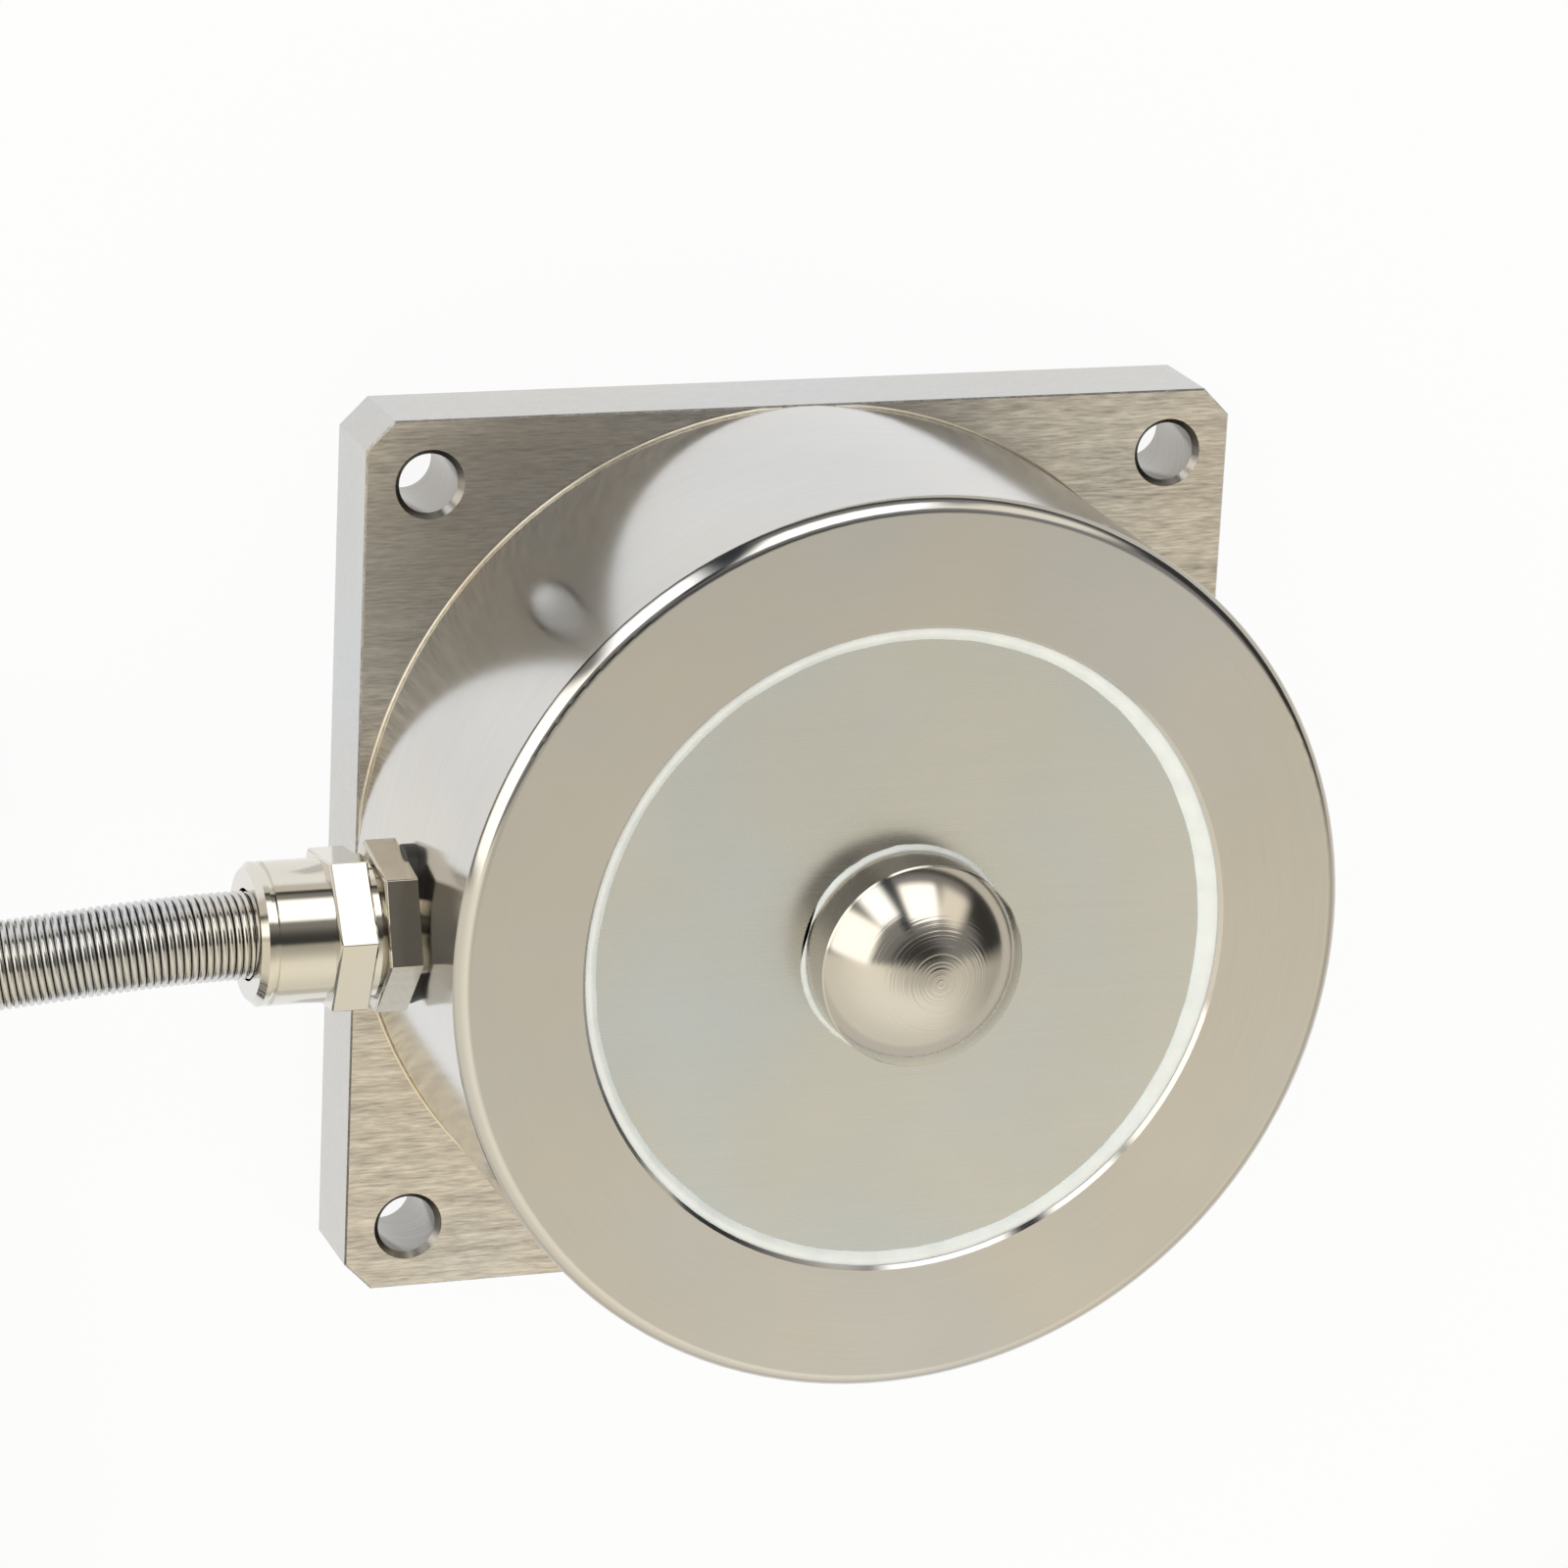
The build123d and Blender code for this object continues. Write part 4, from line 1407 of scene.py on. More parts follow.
@dataclass
class ArmouredLead:
    """The lead: straight out of the gland, down to the floor, a wound coil and a short tail."""

    route: tuple[Point, ...] = (
        (-0.0614, 0.0, 0.03095),
        (-0.0722, 0.0, 0.03095),
        (-0.0828, -0.00105, 0.03),
        (-0.0929, -0.0027, 0.028),
        (-0.1029, -0.0039, 0.0262),
        (-0.113, -0.0045, 0.02485),
        (-0.1295, -0.0045, 0.02485),
    )
    tail: tuple[Point, ...] = (
        (-0.099, -0.035, 0.00585),
        (-0.099, -0.0295, 0.00585),
        (-0.099, -0.022, 0.0065),
        (-0.099, -0.0145, 0.0075),
        (-0.099, -0.009, 0.0075),
    )
    diameter: float = 9.5 * MM
    length: float = 2.97
    coil_centre: tuple[float, float] = COIL_CENTRE
    coil_outer: float = 67.0 * MM
    coil_turns: float = 7.75
    turn_points: int = 24
    layer_low: float = 5.85 * MM
    line_steps: int = 10
    line_order: int = 3
    places: tuple[tuple[int, int], ...] = (
        (0, 2), (1, 2), (2, 2), (2, 1), (2, 0), (1, 0), (1, 1), (0, 1), (0, 0),
    )
    moves: tuple[int, ...] = (5, 5, 4, 4, 3, 2, 1, 0)
    move_parts: int = 6
    pitch: float = 0.78 * MM
    wire_radius: float = 0.37 * MM
    wire_sides: int = 8
    turn_steps: int = 24
    wound_length: float = 0.128
    core_radius: float = 4.02 * MM
    ridge_pitch: float = 0.80 * MM
    ridge_depth: float = 0.28 * MM
    ridge_sides: int = 12

    def coil_points(self) -> list[Vector]:
        """Control points of the wound coil.

        Each turn lies in one place of the bundle, counted from the outside and from the floor, and
        moves to the next one in its own sixth of the turn, after the next turn has left it.

        Returns:
            The points, from the lead's way in to its way out.
        """
        pull = (1.0 + math.cos(HALF_TURN / self.turn_points)) / 2.0
        points = []
        for number in range(round(self.coil_turns * self.turn_points) + 1):
            turn, part = divmod(number / self.turn_points, 1.0)
            here = self.places[int(turn)]
            there = self.places[int(turn) + 1]
            share = min(1.0, max(0.0, part * self.move_parts - self.moves[int(turn)]))
            share = share * share * (3.0 - 2.0 * share)
            column, layer = (one + (two - one) * share for one, two in zip(here, there))
            radius = (self.coil_outer - self.diameter * column) / pull
            angle = HALF_TURN / 2.0 + FULL_TURN * part
            side = around(angle) * radius
            points.append(Vector((*self.coil_centre, self.layer_low + self.diameter * layer)) + side)
        return points

    def line(self) -> bpy.types.Object:
        """Link the lead's own smooth spline, from the gland to the plug.

        Returns:
            The curve's object.
        """
        points = [Vector(point) for point in self.route]
        points += self.coil_points()
        points += [Vector(point) for point in self.tail]
        curve = bpy.data.curves.new("lead_line", "CURVE")
        curve.dimensions = "3D"
        curve.resolution_u = self.line_steps
        spline = curve.splines.new("NURBS")
        spline.points.add(len(points) - 1)
        for at, point in zip(spline.points, points):
            at.co = (*point, 1.0)
        spline.order_u = self.line_order
        spline.use_endpoint_u = True
        made = bpy.data.objects.new("lead_line", curve)
        bpy.context.scene.collection.objects.link(made)
        return made

    def path(self) -> list[Vector]:
        """Points that the spline really passes through.

        Returns:
            The points, in order.
        """
        line = self.line()
        depsgraph = bpy.context.evaluated_depsgraph_get()
        traced = bpy.data.meshes.new_from_object(line.evaluated_get(depsgraph))
        points = [vertex.co.copy() for vertex in traced.vertices]
        bpy.data.meshes.remove(traced)
        bpy.data.objects.remove(line)
        return points

    def ridged_tube(self) -> bpy.types.Mesh:
        """The armour as a ridged tube, bare core where the real winding lies on it.

        Returns:
            The tube.
        """
        recipe = GeometryRecipe("armoured_lead_whole")
        board = recipe.board
        step = recipe.size("Half pitch", self.ridge_pitch / 2.0)
        bare = recipe.size("Bare length", self.wound_length)
        core = recipe.size("Core radius", self.core_radius)
        ridge = recipe.size("Ridge radius", self.diameter / 2.0)
        depth = recipe.size("Groove depth", self.ridge_depth)
        sides = recipe.size("Sides", self.ridge_sides)
        finish = recipe.size("Finish", ArmourFinish().material())
        by_length = {"mode": "LENGTH"}
        curve = board.read(
            "GeometryNodeResampleCurve", "Curve", by_length, {"Curve": recipe.geometry, "Length": step}
        )
        odd = board.read("GeometryNodeInputIndex", "Index") % 2.0
        run = board.read("GeometryNodeSplineParameter", "Length")
        covered = run < bare
        radius = covered * core + (1.0 - covered) * (ridge - depth * odd)
        # Painted shade mask for the armour finish: the odd rings, which are the grooves, and the bare core
        # under the winding.
        groove = board.maths("MAXIMUM", covered, odd)
        marked = board.read(
            "GeometryNodeStoreNamedAttribute",
            "Geometry",
            {"data_type": "FLOAT", "domain": "POINT"},
            {"Geometry": curve, "Name": "groove", "Value": groove},
        )
        ring = board.read(
            "GeometryNodeCurvePrimitiveCircle", "Curve", values={"Resolution": sides, "Radius": 1.0}
        )
        tube = board.read(
            "GeometryNodeCurveToMesh",
            "Mesh",
            values={"Curve": marked, "Profile Curve": ring, "Scale": radius, "Fill Caps": True},
        )
        recipe.end(tube, finish)
        made = recipe.mesh(self.line())
        made.shade_smooth()
        ends = np.zeros(len(made.edges) * 2, np.int64)
        made.edges.foreach_get("vertices", ends)
        rings = ends.reshape(-1, 2) // self.ridge_sides
        sharp = made.attributes.new("sharp_edge", "BOOLEAN", "EDGE")
        sharp.data.foreach_set("value", rings[:, 0] == rings[:, 1])
        return made

    def winding(self) -> bpy.types.Mesh:
        """The close-wound wire itself, where the photograph shows the lead from near.

        Returns:
            The wire.
        """
        recipe = GeometryRecipe("armour_winding")
        board = recipe.board
        length = recipe.size("Wound length", self.wound_length)
        pitch = recipe.size("Pitch", self.pitch)
        wire = recipe.size("Wire radius", self.wire_radius)
        outer = recipe.size("Outer radius", self.diameter / 2.0)
        steps = recipe.size("Steps a turn", float(self.turn_steps))
        sides = recipe.size("Wire sides", self.wire_sides)
        finish = recipe.size("Finish", WIRE.material())
        by_length = {"mode": "LENGTH"}
        # Sockets 4 and 5 are the start and the end, given as lengths.
        ends = {0: recipe.geometry, 4: 0.0, 5: length}
        piece = board.read("GeometryNodeTrimCurve", "Curve", by_length, ends)
        fine = board.read(
            "GeometryNodeResampleCurve", "Curve", by_length, {"Curve": piece, "Length": pitch / steps}
        )
        angle = board.read("GeometryNodeInputIndex", "Index") * FULL_TURN / steps
        side = board.read("GeometryNodeInputNormal", "Normal")
        along = board.read("GeometryNodeInputTangent", "Tangent")
        other = board.vector_maths("CROSS_PRODUCT", along, side)
        reach = outer - wire
        parts = [
            board.scaled(side, board.maths("COSINE", angle) * reach),
            board.scaled(other, board.maths("SINE", angle) * reach),
        ]
        wound = board.read(
            "GeometryNodeSetPosition",
            "Geometry",
            values={"Geometry": fine, "Offset": board.vector_maths("ADD", *parts)},
        )
        ring = board.read(
            "GeometryNodeCurvePrimitiveCircle", "Curve", values={"Resolution": sides, "Radius": wire}
        )
        tube = board.read(
            "GeometryNodeCurveToMesh",
            "Mesh",
            values={"Curve": wound, "Profile Curve": ring, "Fill Caps": True},
        )
        recipe.end(tube, finish)
        made = recipe.mesh(self.line())
        made.shade_smooth()
        return made

    def build(self, workshop: Workshop) -> tuple[bpy.types.Object, list[bpy.types.Object]]:
        """Make the tube and its winding.

        Args:
            workshop: Where finished meshes become pieces.

        Returns:
            The lead, and the pieces that lie on it.
        """
        nodes = ("armoured_lead", "lead_coil", "lead_tail")
        lead = workshop.place("armoured_lead_whole", self.ridged_tube(), nodes)
        winding = workshop.place("armour_winding", self.winding(), ())
        for node in nodes:
            workshop.dress_node(node, ArmourFinish())
        return lead, [winding]

    def declare(self) -> None:
        """Trace the lead's spline through its points once, and throw the traced points away.
        """
        self.path()


class BodyRegion(Enum):
    """The differently finished surfaces of the one-piece body."""

    FLANGE_TOP = FLANGE_TOP
    FLANGE_EDGE = FLANGE_EDGE
    FLANGE_SIDE = FLANGE_SIDE
    JUNCTION = JUNCTION
    DRUM_SIDE = DRUM_SIDE
    RIM_ROUND = RIM_ROUND
    RIM_FACE = RIM_FACE
    HOLE_WALL = HOLE_WALL
    INSIDE = INSIDE


@dataclass
class CellBody:
    """Flange, drum, hub and spokes, machined in one piece."""

    plate_half: float = 50.0 * MM
    plate_top: float = 11.3 * MM
    hole_offset: float = 42.8 * MM
    hole_reach: float = 4.1 * MM
    drum_radius: float = 49.9 * MM
    rim_top: float = 50.6 * MM
    rim_fillet: float = 1.6 * MM
    recess_radius: float = 35.8 * MM
    recess_chamfer: float = 0.4 * MM
    gland_height: float = GLAND_CENTRE[2]
    junction_fillet: float = 0.35 * MM
    edge_break: float = 0.21 * MM
    edge_low: float = 0.3
    edge_high: float = 0.95
    side_band: float = 2.4 * MM
    level: float = 0.99
    not_level: float = 0.98
    gland_reach: float = 6.3 * MM
    drum_limit: float = math.radians(24.0)
    slack: float = 0.08 * MM

    def __post_init__(self) -> None:
        """Place the rim's fillet and the fillet between the drum and the flange."""
        self.rim = Round(
            self.drum_radius - self.rim_fillet, self.rim_top - self.rim_fillet, self.rim_fillet, polished=True
        )
        self.junction = Round(
            self.drum_radius + self.junction_fillet, self.plate_top + self.junction_fillet,
            self.junction_fillet, hollow=True,
        )

    def region(self, middle: Vector, out: Vector) -> BodyRegion:
        """Say which surface a face belongs to, from its middle and its direction.

        Args:
            middle: The face's middle.
            out: The face's normal.

        Returns:
            The surface that it belongs to.
        """
        radius = math.hypot(middle.x, middle.y)
        hole = math.hypot(abs(middle.x) - self.hole_offset, abs(middle.y) - self.hole_offset)
        in_plate = middle.z <= self.plate_top + self.slack
        if in_plate and hole < self.hole_reach and abs(out.z) < self.not_level:
            return BodyRegion.HOLE_WALL
        if middle.z > self.rim_top - self.slack and radius > self.recess_radius:
            return BodyRegion.RIM_FACE
        if middle.z > self.rim_top - self.rim_fillet and radius > self.drum_radius - self.rim_fillet:
            return BodyRegion.RIM_ROUND
        if middle.z > self.rim_top - self.recess_chamfer - self.slack:
            return BodyRegion.RIM_ROUND
        if self.junction.holds(middle):
            return BodyRegion.JUNCTION
        if middle.z > self.plate_top + self.slack and radius > self.drum_radius - self.slack:
            return BodyRegion.DRUM_SIDE
        if middle.z > self.plate_top - self.edge_break and self.edge_low < out.z < self.edge_high:
            return BodyRegion.FLANGE_EDGE
        if out.z > self.level and abs(middle.z - self.plate_top) < self.slack:
            return BodyRegion.FLANGE_TOP
        across = max(abs(middle.x), abs(middle.y))
        if across > self.plate_half - self.side_band and middle.z < self.plate_top:
            return BodyRegion.FLANGE_SIDE
        return BodyRegion.INSIDE

    def build(self, workshop: Workshop) -> None:
        """Make the body with true normals and dress each of its surfaces.

        Args:
            workshop: Where finished meshes become pieces.
        """
        corners = [(self.hole_offset * x, self.hole_offset * y, 0.0) for x in (-1, 1) for y in (-1, 1)]
        axes = [Axis(corner, reach=self.hole_reach) for corner in corners]
        axes.append(Axis((0.0, 0.0, self.gland_height), (1.0, 0.0, 0.0), self.gland_reach))
        axes.append(Axis((0.0, 0.0, 0.0), start=self.plate_top, limit=self.drum_limit))
        axes.append(Axis((0.0, 0.0, 0.0), reach=self.recess_radius + self.slack))
        mesh = SmoothCopy("load_cell_body", tuple(axes), (self.rim, self.junction)).mesh(workshop.frame)
        regions = list(BodyRegion)
        for region in regions:
            mesh.materials.append(region.value.material())
        for face in mesh.polygons:
            face.material_index = regions.index(self.region(face.center, face.normal))
        workshop.place("cell_body", mesh, ("load_cell_body",))
        workshop.dress_node("load_cell_body", RIM_FACE)


@dataclass
class LoadButton:
    """Domed load button with its threaded shank, turned in one piece."""

    radius: float = 11.25 * MM
    foot: float = 42.0 * MM
    dome_edge: float = 54.9 * MM
    dome_top: float = 60.7 * MM
    dome_radius: float = 13.81 * MM
    edge_break: float = 0.18 * MM
    shank_radius: float = 6.0 * MM
    shank_end: float = 24.0 * MM
    thread_pitch: float = 1.5 * MM
    thread_depth: float = 0.7 * MM
    polish_margin: float = 0.216 * MM
    dome_steps: int = 40
    segments: int = 192

    def outline(self) -> Turning:
        """Shank with its thread rings, stem, broken edge and dome.

        Returns:
            The closed outline.
        """
        centre = self.dome_top - self.dome_radius
        turning = Turning(0.0, self.shank_end)
        turning.line(self.shank_radius - self.thread_depth, self.shank_end)
        height = self.shank_end
        while height + self.thread_pitch < self.foot:
            turning.line(self.shank_radius, height + self.thread_pitch / 2.0)
            height += self.thread_pitch
            turning.line(self.shank_radius - self.thread_depth, height)
        turning.line(self.shank_radius - self.thread_depth, self.foot)
        turning.line(self.radius, self.foot)
        slope = math.acos((self.radius - self.edge_break) / self.dome_radius)
        start = (self.radius - self.edge_break, centre + self.dome_radius * math.sin(slope))
        turning.line(self.radius, start[1] - self.edge_break)
        turning.line(*start)
        turning.arc(0.0, self.dome_top, (0.0, centre), self.dome_steps)
        turning.line(0.0, self.shank_end)
        return turning

    def build(self, workshop: Workshop) -> None:
        """Make the button, polished on the dome and plainly turned below it.

        Args:
            workshop: Where finished meshes become pieces.
        """
        mesh = self.outline().mesh("load_button_turned", self.segments)
        mesh.materials.append(BUTTON.material())
        mesh.materials.append(BUTTON_STEM.material())
        for face in mesh.polygons:
            face.material_index = 0 if face.center.z > self.dome_edge - self.polish_margin else 1
        workshop.place("load_button_turned", mesh, ("load_button",))
        workshop.dress_node("load_button", BUTTON)


@dataclass
class Covers:
    """Top and bottom covers: thin discs, each sunk in its recess."""

    radius: float = 35.5 * MM
    hole_radius: float = 11.55 * MM
    top_z: float = 49.5 * MM
    thickness: float = 1.5 * MM
    bottom_z: float = 0.6 * MM
    bottom_thickness: float = 1.2 * MM
    edge: float = 0.12 * MM
    segments: int = 192

    def build(self, workshop: Workshop) -> None:
        """Make both discs with broken edges.

        Args:
            workshop: Where finished meshes become pieces.
        """
        low = self.top_z - self.thickness
        top = Turning(self.hole_radius, low).line(self.radius, low)
        top.line(self.radius, self.top_z - self.edge).line(self.radius - self.edge, self.top_z)
        top.line(self.hole_radius + self.edge, self.top_z).line(self.hole_radius, self.top_z - self.edge)
        top.line(self.hole_radius, low)
        workshop.place("top_cover_disc", top.mesh("top_cover_disc", self.segments), ("top_cover",), COVER)
        high = self.bottom_z + self.bottom_thickness
        bottom = Turning(0.0, self.bottom_z).line(self.radius - self.edge, self.bottom_z)
        bottom.line(self.radius, self.bottom_z + self.edge).line(self.radius, high).line(0.0, high)
        bottom.line(0.0, self.bottom_z)
        mesh = bottom.mesh("bottom_cover_disc", self.segments)
        workshop.place("bottom_cover_disc", mesh, ("bottom_cover",), COVER)
        for node in ("top_cover", "bottom_cover"):
            workshop.dress_node(node, COVER)


@dataclass
class LaidBead:
    """A bead of sealant laid by hand round a circle: its width and crown wander along the way."""

    name: str
    node: str
    wall: float
    floor: float
    height: float
    width: float
    side: float
    wide_at: float = 0.0
    wide_more: float = 0.0
    wide_spread: float = 0.7
    thin_at: float = 0.0
    thin_share: float = 0.0
    thin_spread: float = 0.3
    wander: float = 0.12 * MM
    ripples: float = 5.0
    fine_ripples: float = 3.1
    crown_ripples: float = 8.0
    crown_seed: float = 7.0
    crown_wander: float = 0.10
    crown_fall: float = 2.2
    crown_bulge: float = 0.35
    crown_limit: float = 1.02
    least_height: float = 0.15
    crease: float = math.radians(50.0)
    seed: float = 0.0
    steps: int = 360
    crown_steps: int = 9

    def width_at(self, angle: float) -> float:
        """Width of the bead at an angle round the circle.

        Args:
            angle: Angle round the circle.

        Returns:
            The width in metres.
        """
        place = around(angle, self.ripples, self.seed)
        ripple = noise.noise(place) + noise.noise(place * self.fine_ripples) / 2.0
        wide = self.bulge(angle, self.wide_at, self.wide_spread) * self.wide_more
        return self.width + self.wander * ripple + wide

    @staticmethod
    def bulge(angle: float, at: float, spread: float) -> float:
        """One at an angle, fading over a spread to both sides."""
        off = (angle - at + HALF_TURN) % FULL_TURN - HALF_TURN
        return math.exp(-((off / spread) ** 2))

    def section(self, angle: float) -> list[tuple[float, float]]:
        """Radius and height of the bead's outline at an angle, from the wall over the crown to its foot.

        Args:
            angle: Angle round the circle.

        Returns:
            The outline's points, closed along the wall.
        """
        width = self.width_at(angle)
        place = around(angle, self.crown_ripples, self.seed + self.crown_seed)
        height = self.height * (1.0 + self.crown_wander * noise.noise(place))
        share = 1.0 - self.thin_share * self.bulge(angle, self.thin_at, self.thin_spread)
        width *= share
        height *= max(share, self.least_height)
        points = []
        for step in range(self.crown_steps):
            part = step / (self.crown_steps - 1)
            fall = 1.0 - part**self.crown_fall + self.crown_bulge * math.sin(HALF_TURN * part) * (1.0 - part)
            rise = height * min(fall, self.crown_limit)
            points.append((self.wall - self.side * width * part, self.floor + rise))
        points[-1] = (self.wall - self.side * width, self.floor)
        points.append((self.wall, self.floor))
        return points

    def build(self, workshop: Workshop) -> None:
        """Make the closed ring of sections.

        Args:
            workshop: Where finished meshes become pieces.
        """
        angles = [FULL_TURN * step / self.steps for step in range(self.steps)]
        rows = [[around(angle, *point) for point in self.section(angle)] for angle in angles]
        mesh = Workshop.closed_band(self.name, rows)
        Workshop.turn_outwards(mesh)
        mesh.shade_smooth()
        mesh.set_sharp_from_angle(angle=self.crease)
        workshop.place(self.name, mesh, (self.node,), SEALANT)
        workshop.dress_node(self.node, SEALANT)


@dataclass
class CableGland:
    """Nickel-plated gland in the drum's side: rubber gasket, body and cap."""

    height: float = GLAND_CENTRE[2]
    reach: float = 12.0 * MM
    barrel_start: float = -59.45 * MM
    collar_start: float = -55.15 * MM
    collar_end: float = -54.3 * MM
    gasket_reach: float = 5.9 * MM
    gasket_ease: float = 10.0
    gasket_front: float = -50.4 * MM
    drum_radius: float = 49.9 * MM
    slack: float = 0.05 * MM

    def build(self, workshop: Workshop) -> None:
        """Make both metal pieces with true normals, the turned faces finer than the flats.

        Args:
            workshop: Where finished meshes become pieces.
        """
        axis = Axis((0.0, 0.0, self.height), (1.0, 0.0, 0.0), self.reach)
        for node in ("gland_body", "gland_cap"):
            mesh = SmoothCopy(node, (axis,)).mesh(workshop.frame)
            mesh.materials.append((NICKEL if node == "gland_cap" else NICKEL_BODY).material())
            mesh.materials.append(NICKEL_BARREL.material())
            for face in mesh.polygons:
                x = face.center.x
                turned = x < self.barrel_start or self.collar_start < x < self.collar_end
                face.material_index = 1 if turned and node == "gland_cap" else 0
            workshop.place(f"{node}_plated", mesh, (node,))
            workshop.dress_node(node, NICKEL)
        workshop.place("gasket_squeezed", self.gasket(workshop.frame, axis), ("gland_gasket",))
        workshop.dress_node("gland_gasket", RUBBER)
        workshop.dress_node("gland_seal", RUBBER)
        workshop.dress_node("clamp_ring", NICKEL)

    def gasket(self, frame: dict, axis: Axis) -> bpy.types.Mesh:
        """Gasket squeezed in behind the hexagon, which bulges where the drum's wall curves away.

        Args:
            frame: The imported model.
            axis: The gland's axis.

        Returns:
            The squeezed gasket.
        """
        mesh = SmoothCopy("gland_gasket", (axis,)).mesh(frame)
        for vertex in mesh.vertices:
            reach = math.hypot(vertex.co.y, vertex.co.z - self.height)
            if reach <= self.gasket_reach:
                continue
            on_drum = vertex.co.x > self.gasket_front + self.slack
            sideways = (abs(vertex.co.y) / reach) ** self.gasket_ease
            share = (self.gasket_reach + (reach - self.gasket_reach) * sideways) / reach
            vertex.co.y *= share
            vertex.co.z = self.height + (vertex.co.z - self.height) * share
            if on_drum:
                vertex.co.x = -math.sqrt(self.drum_radius ** 2 - vertex.co.y ** 2)
        mesh.materials.append(RUBBER.material())
        return mesh


@dataclass
class CoilTie:
    """A cable tie round the coil: strap with cross teeth, a head and a short cut tail."""

    number: int
    angle: float
    coil_centre: tuple[float, float] = COIL_CENTRE
    inner_radius: float = 43.05 * MM
    outer_radius: float = 71.95 * MM
    bottom: float = 0.9 * MM
    top: float = 29.8 * MM
    corner: float = 4.1 * MM
    clearance: float = 0.1 * MM
    strap: float = 0.65 * MM
    tooth: float = 0.15 * MM
    width: float = 3.6 * MM
    rail: float = 0.35 * MM
    tooth_pitch: float = 1.1 * MM
    tooth_width: float = 2.7 * MM
    tooth_thickness: float = 0.5 * MM
    head: Point = (5.0 * MM, 3.2 * MM, 4.5 * MM)
    tail_length: float = 6.0 * MM
    tail_lift: float = 1.2 * MM
    head_bevel: float = 0.5 * MM
    tail_bevel: float = 0.2 * MM
    bevel_steps: int = 2
    bevel_profile: float = 0.5
    crease: float = math.radians(35.0)
    corner_steps: int = 7

    def frame(self) -> tuple[Vector, Vector, Vector]:
        """Middle of the section, the outward direction and the direction along the coil.

        Returns:
            The point and the two directions.
        """
        outward = around(self.angle)
        middle = Vector((*self.coil_centre, (self.bottom + self.top) / 2.0))
        middle += outward * (self.inner_radius + self.outer_radius) / 2.0
        return middle, outward, outward.cross(UP)

    def loop(self, lift: float) -> list[Vector]:
        """Rounded rectangle round the coil's section, a little outside it.

        Args:
            lift: How far outside the strap's inner face.

        Returns:
            The points of the loop.
        """
        middle, outward, _ = self.frame()
        half_wide = (self.outer_radius - self.inner_radius) / 2.0 + self.clearance - self.corner
        half_high = (self.top - self.bottom) / 2.0 + self.clearance - self.corner
        points = []
        for quarter, (x, z) in enumerate(((1, 1), (-1, 1), (-1, -1), (1, -1))):
            for step in range(self.corner_steps + 1):
                turn = HALF_TURN / 2.0 * (quarter + step / self.corner_steps)
                across = x * half_wide + (self.corner + lift) * math.cos(turn)
                rise = z * half_high + (self.corner + lift) * math.sin(turn)
                points.append(middle + outward * across + UP * rise)
        return points

    def strap_mesh(self) -> bpy.types.Mesh:
        """The strap: a closed band with a raised edge on each side.

        Returns:
            The strap.
        """
        _, _, along = self.frame()
        half = self.width / 2.0
        inner = half - self.rail
        crest = self.strap + self.tooth
        section = (
            (0.0, -half), (crest, -half), (crest, -inner), (self.strap, -inner),
            (self.strap, inner), (crest, inner), (crest, half), (0.0, half),
        )
        rows = [[point + along * side for point in self.loop(lift)] for lift, side in section]
        return Workshop.closed_band("tie_strap", rows)

    def teeth(self) -> bpy.types.Mesh:
        """Cross teeth on the strap, repeated along its loop.

        Returns:
            The teeth.
        """
        _, _, along = self.frame()
        recipe = GeometryRecipe("tie_teeth")
        board = recipe.board
        pitch = recipe.size("Pitch", self.tooth_pitch)
        across = recipe.size("Tooth width", self.tooth_width)
        tall = recipe.size("Tooth height", 2.0 * self.tooth)
        thick = recipe.size("Tooth thickness", self.tooth_thickness)
        finish = recipe.size("Finish", NYLON.material())
        points = board.node(
            "GeometryNodeCurveToPoints", {"mode": "LENGTH"}, {"Curve": recipe.geometry, "Length": pitch}
        )
        bar = board.read(
            "GeometryNodeMeshCube", "Mesh", values={"Size": board.combine(across, tall, thick)}
        )
        turned = board.read(
            "FunctionNodeAxesToRotation",
            "Rotation",
            {"primary_axis": "Z", "secondary_axis": "X"},
            {"Primary Axis": Maths(board, points.outputs["Tangent"]), "Secondary Axis": tuple(along)},
        )
        bars = board.read(
            "GeometryNodeInstanceOnPoints",
            "Instances",
            values={"Points": Maths(board, points.outputs["Points"]), "Instance": bar, "Rotation": turned},
        )
        recipe.end(bars, finish)
        return recipe.mesh(Workshop.carrier("tie_line", self.loop(self.strap), closed=True))

    def block(self, middle: Vector, sizes: Point, bevel: float) -> bpy.types.Mesh:
        """A moulded block with rounded edges, lined up with the tie.

        Args:
            middle: Its middle.
            sizes: Its size outwards, upwards and along the coil.
            bevel: Width of its rounded edges.

        Returns:
            The block.
        """
        _, outward, along = self.frame()
        work = bmesh.new()
        bmesh.ops.create_cube(work, size=1.0)
        bmesh.ops.scale(work, vec=sizes, verts=work.verts)
        bmesh.ops.bevel(
            work, geom=work.edges, offset=bevel, segments=self.bevel_steps, profile=self.bevel_profile,
            affect="EDGES",
        )
        turn = Matrix((outward, UP, along)).transposed().to_4x4()
        bmesh.ops.transform(work, matrix=Matrix.Translation(middle) @ turn, verts=work.verts)
        bmesh.ops.recalc_face_normals(work, faces=work.faces)
        made = bpy.data.meshes.new("tie_block")
        work.to_mesh(made)
        work.free()
        return made

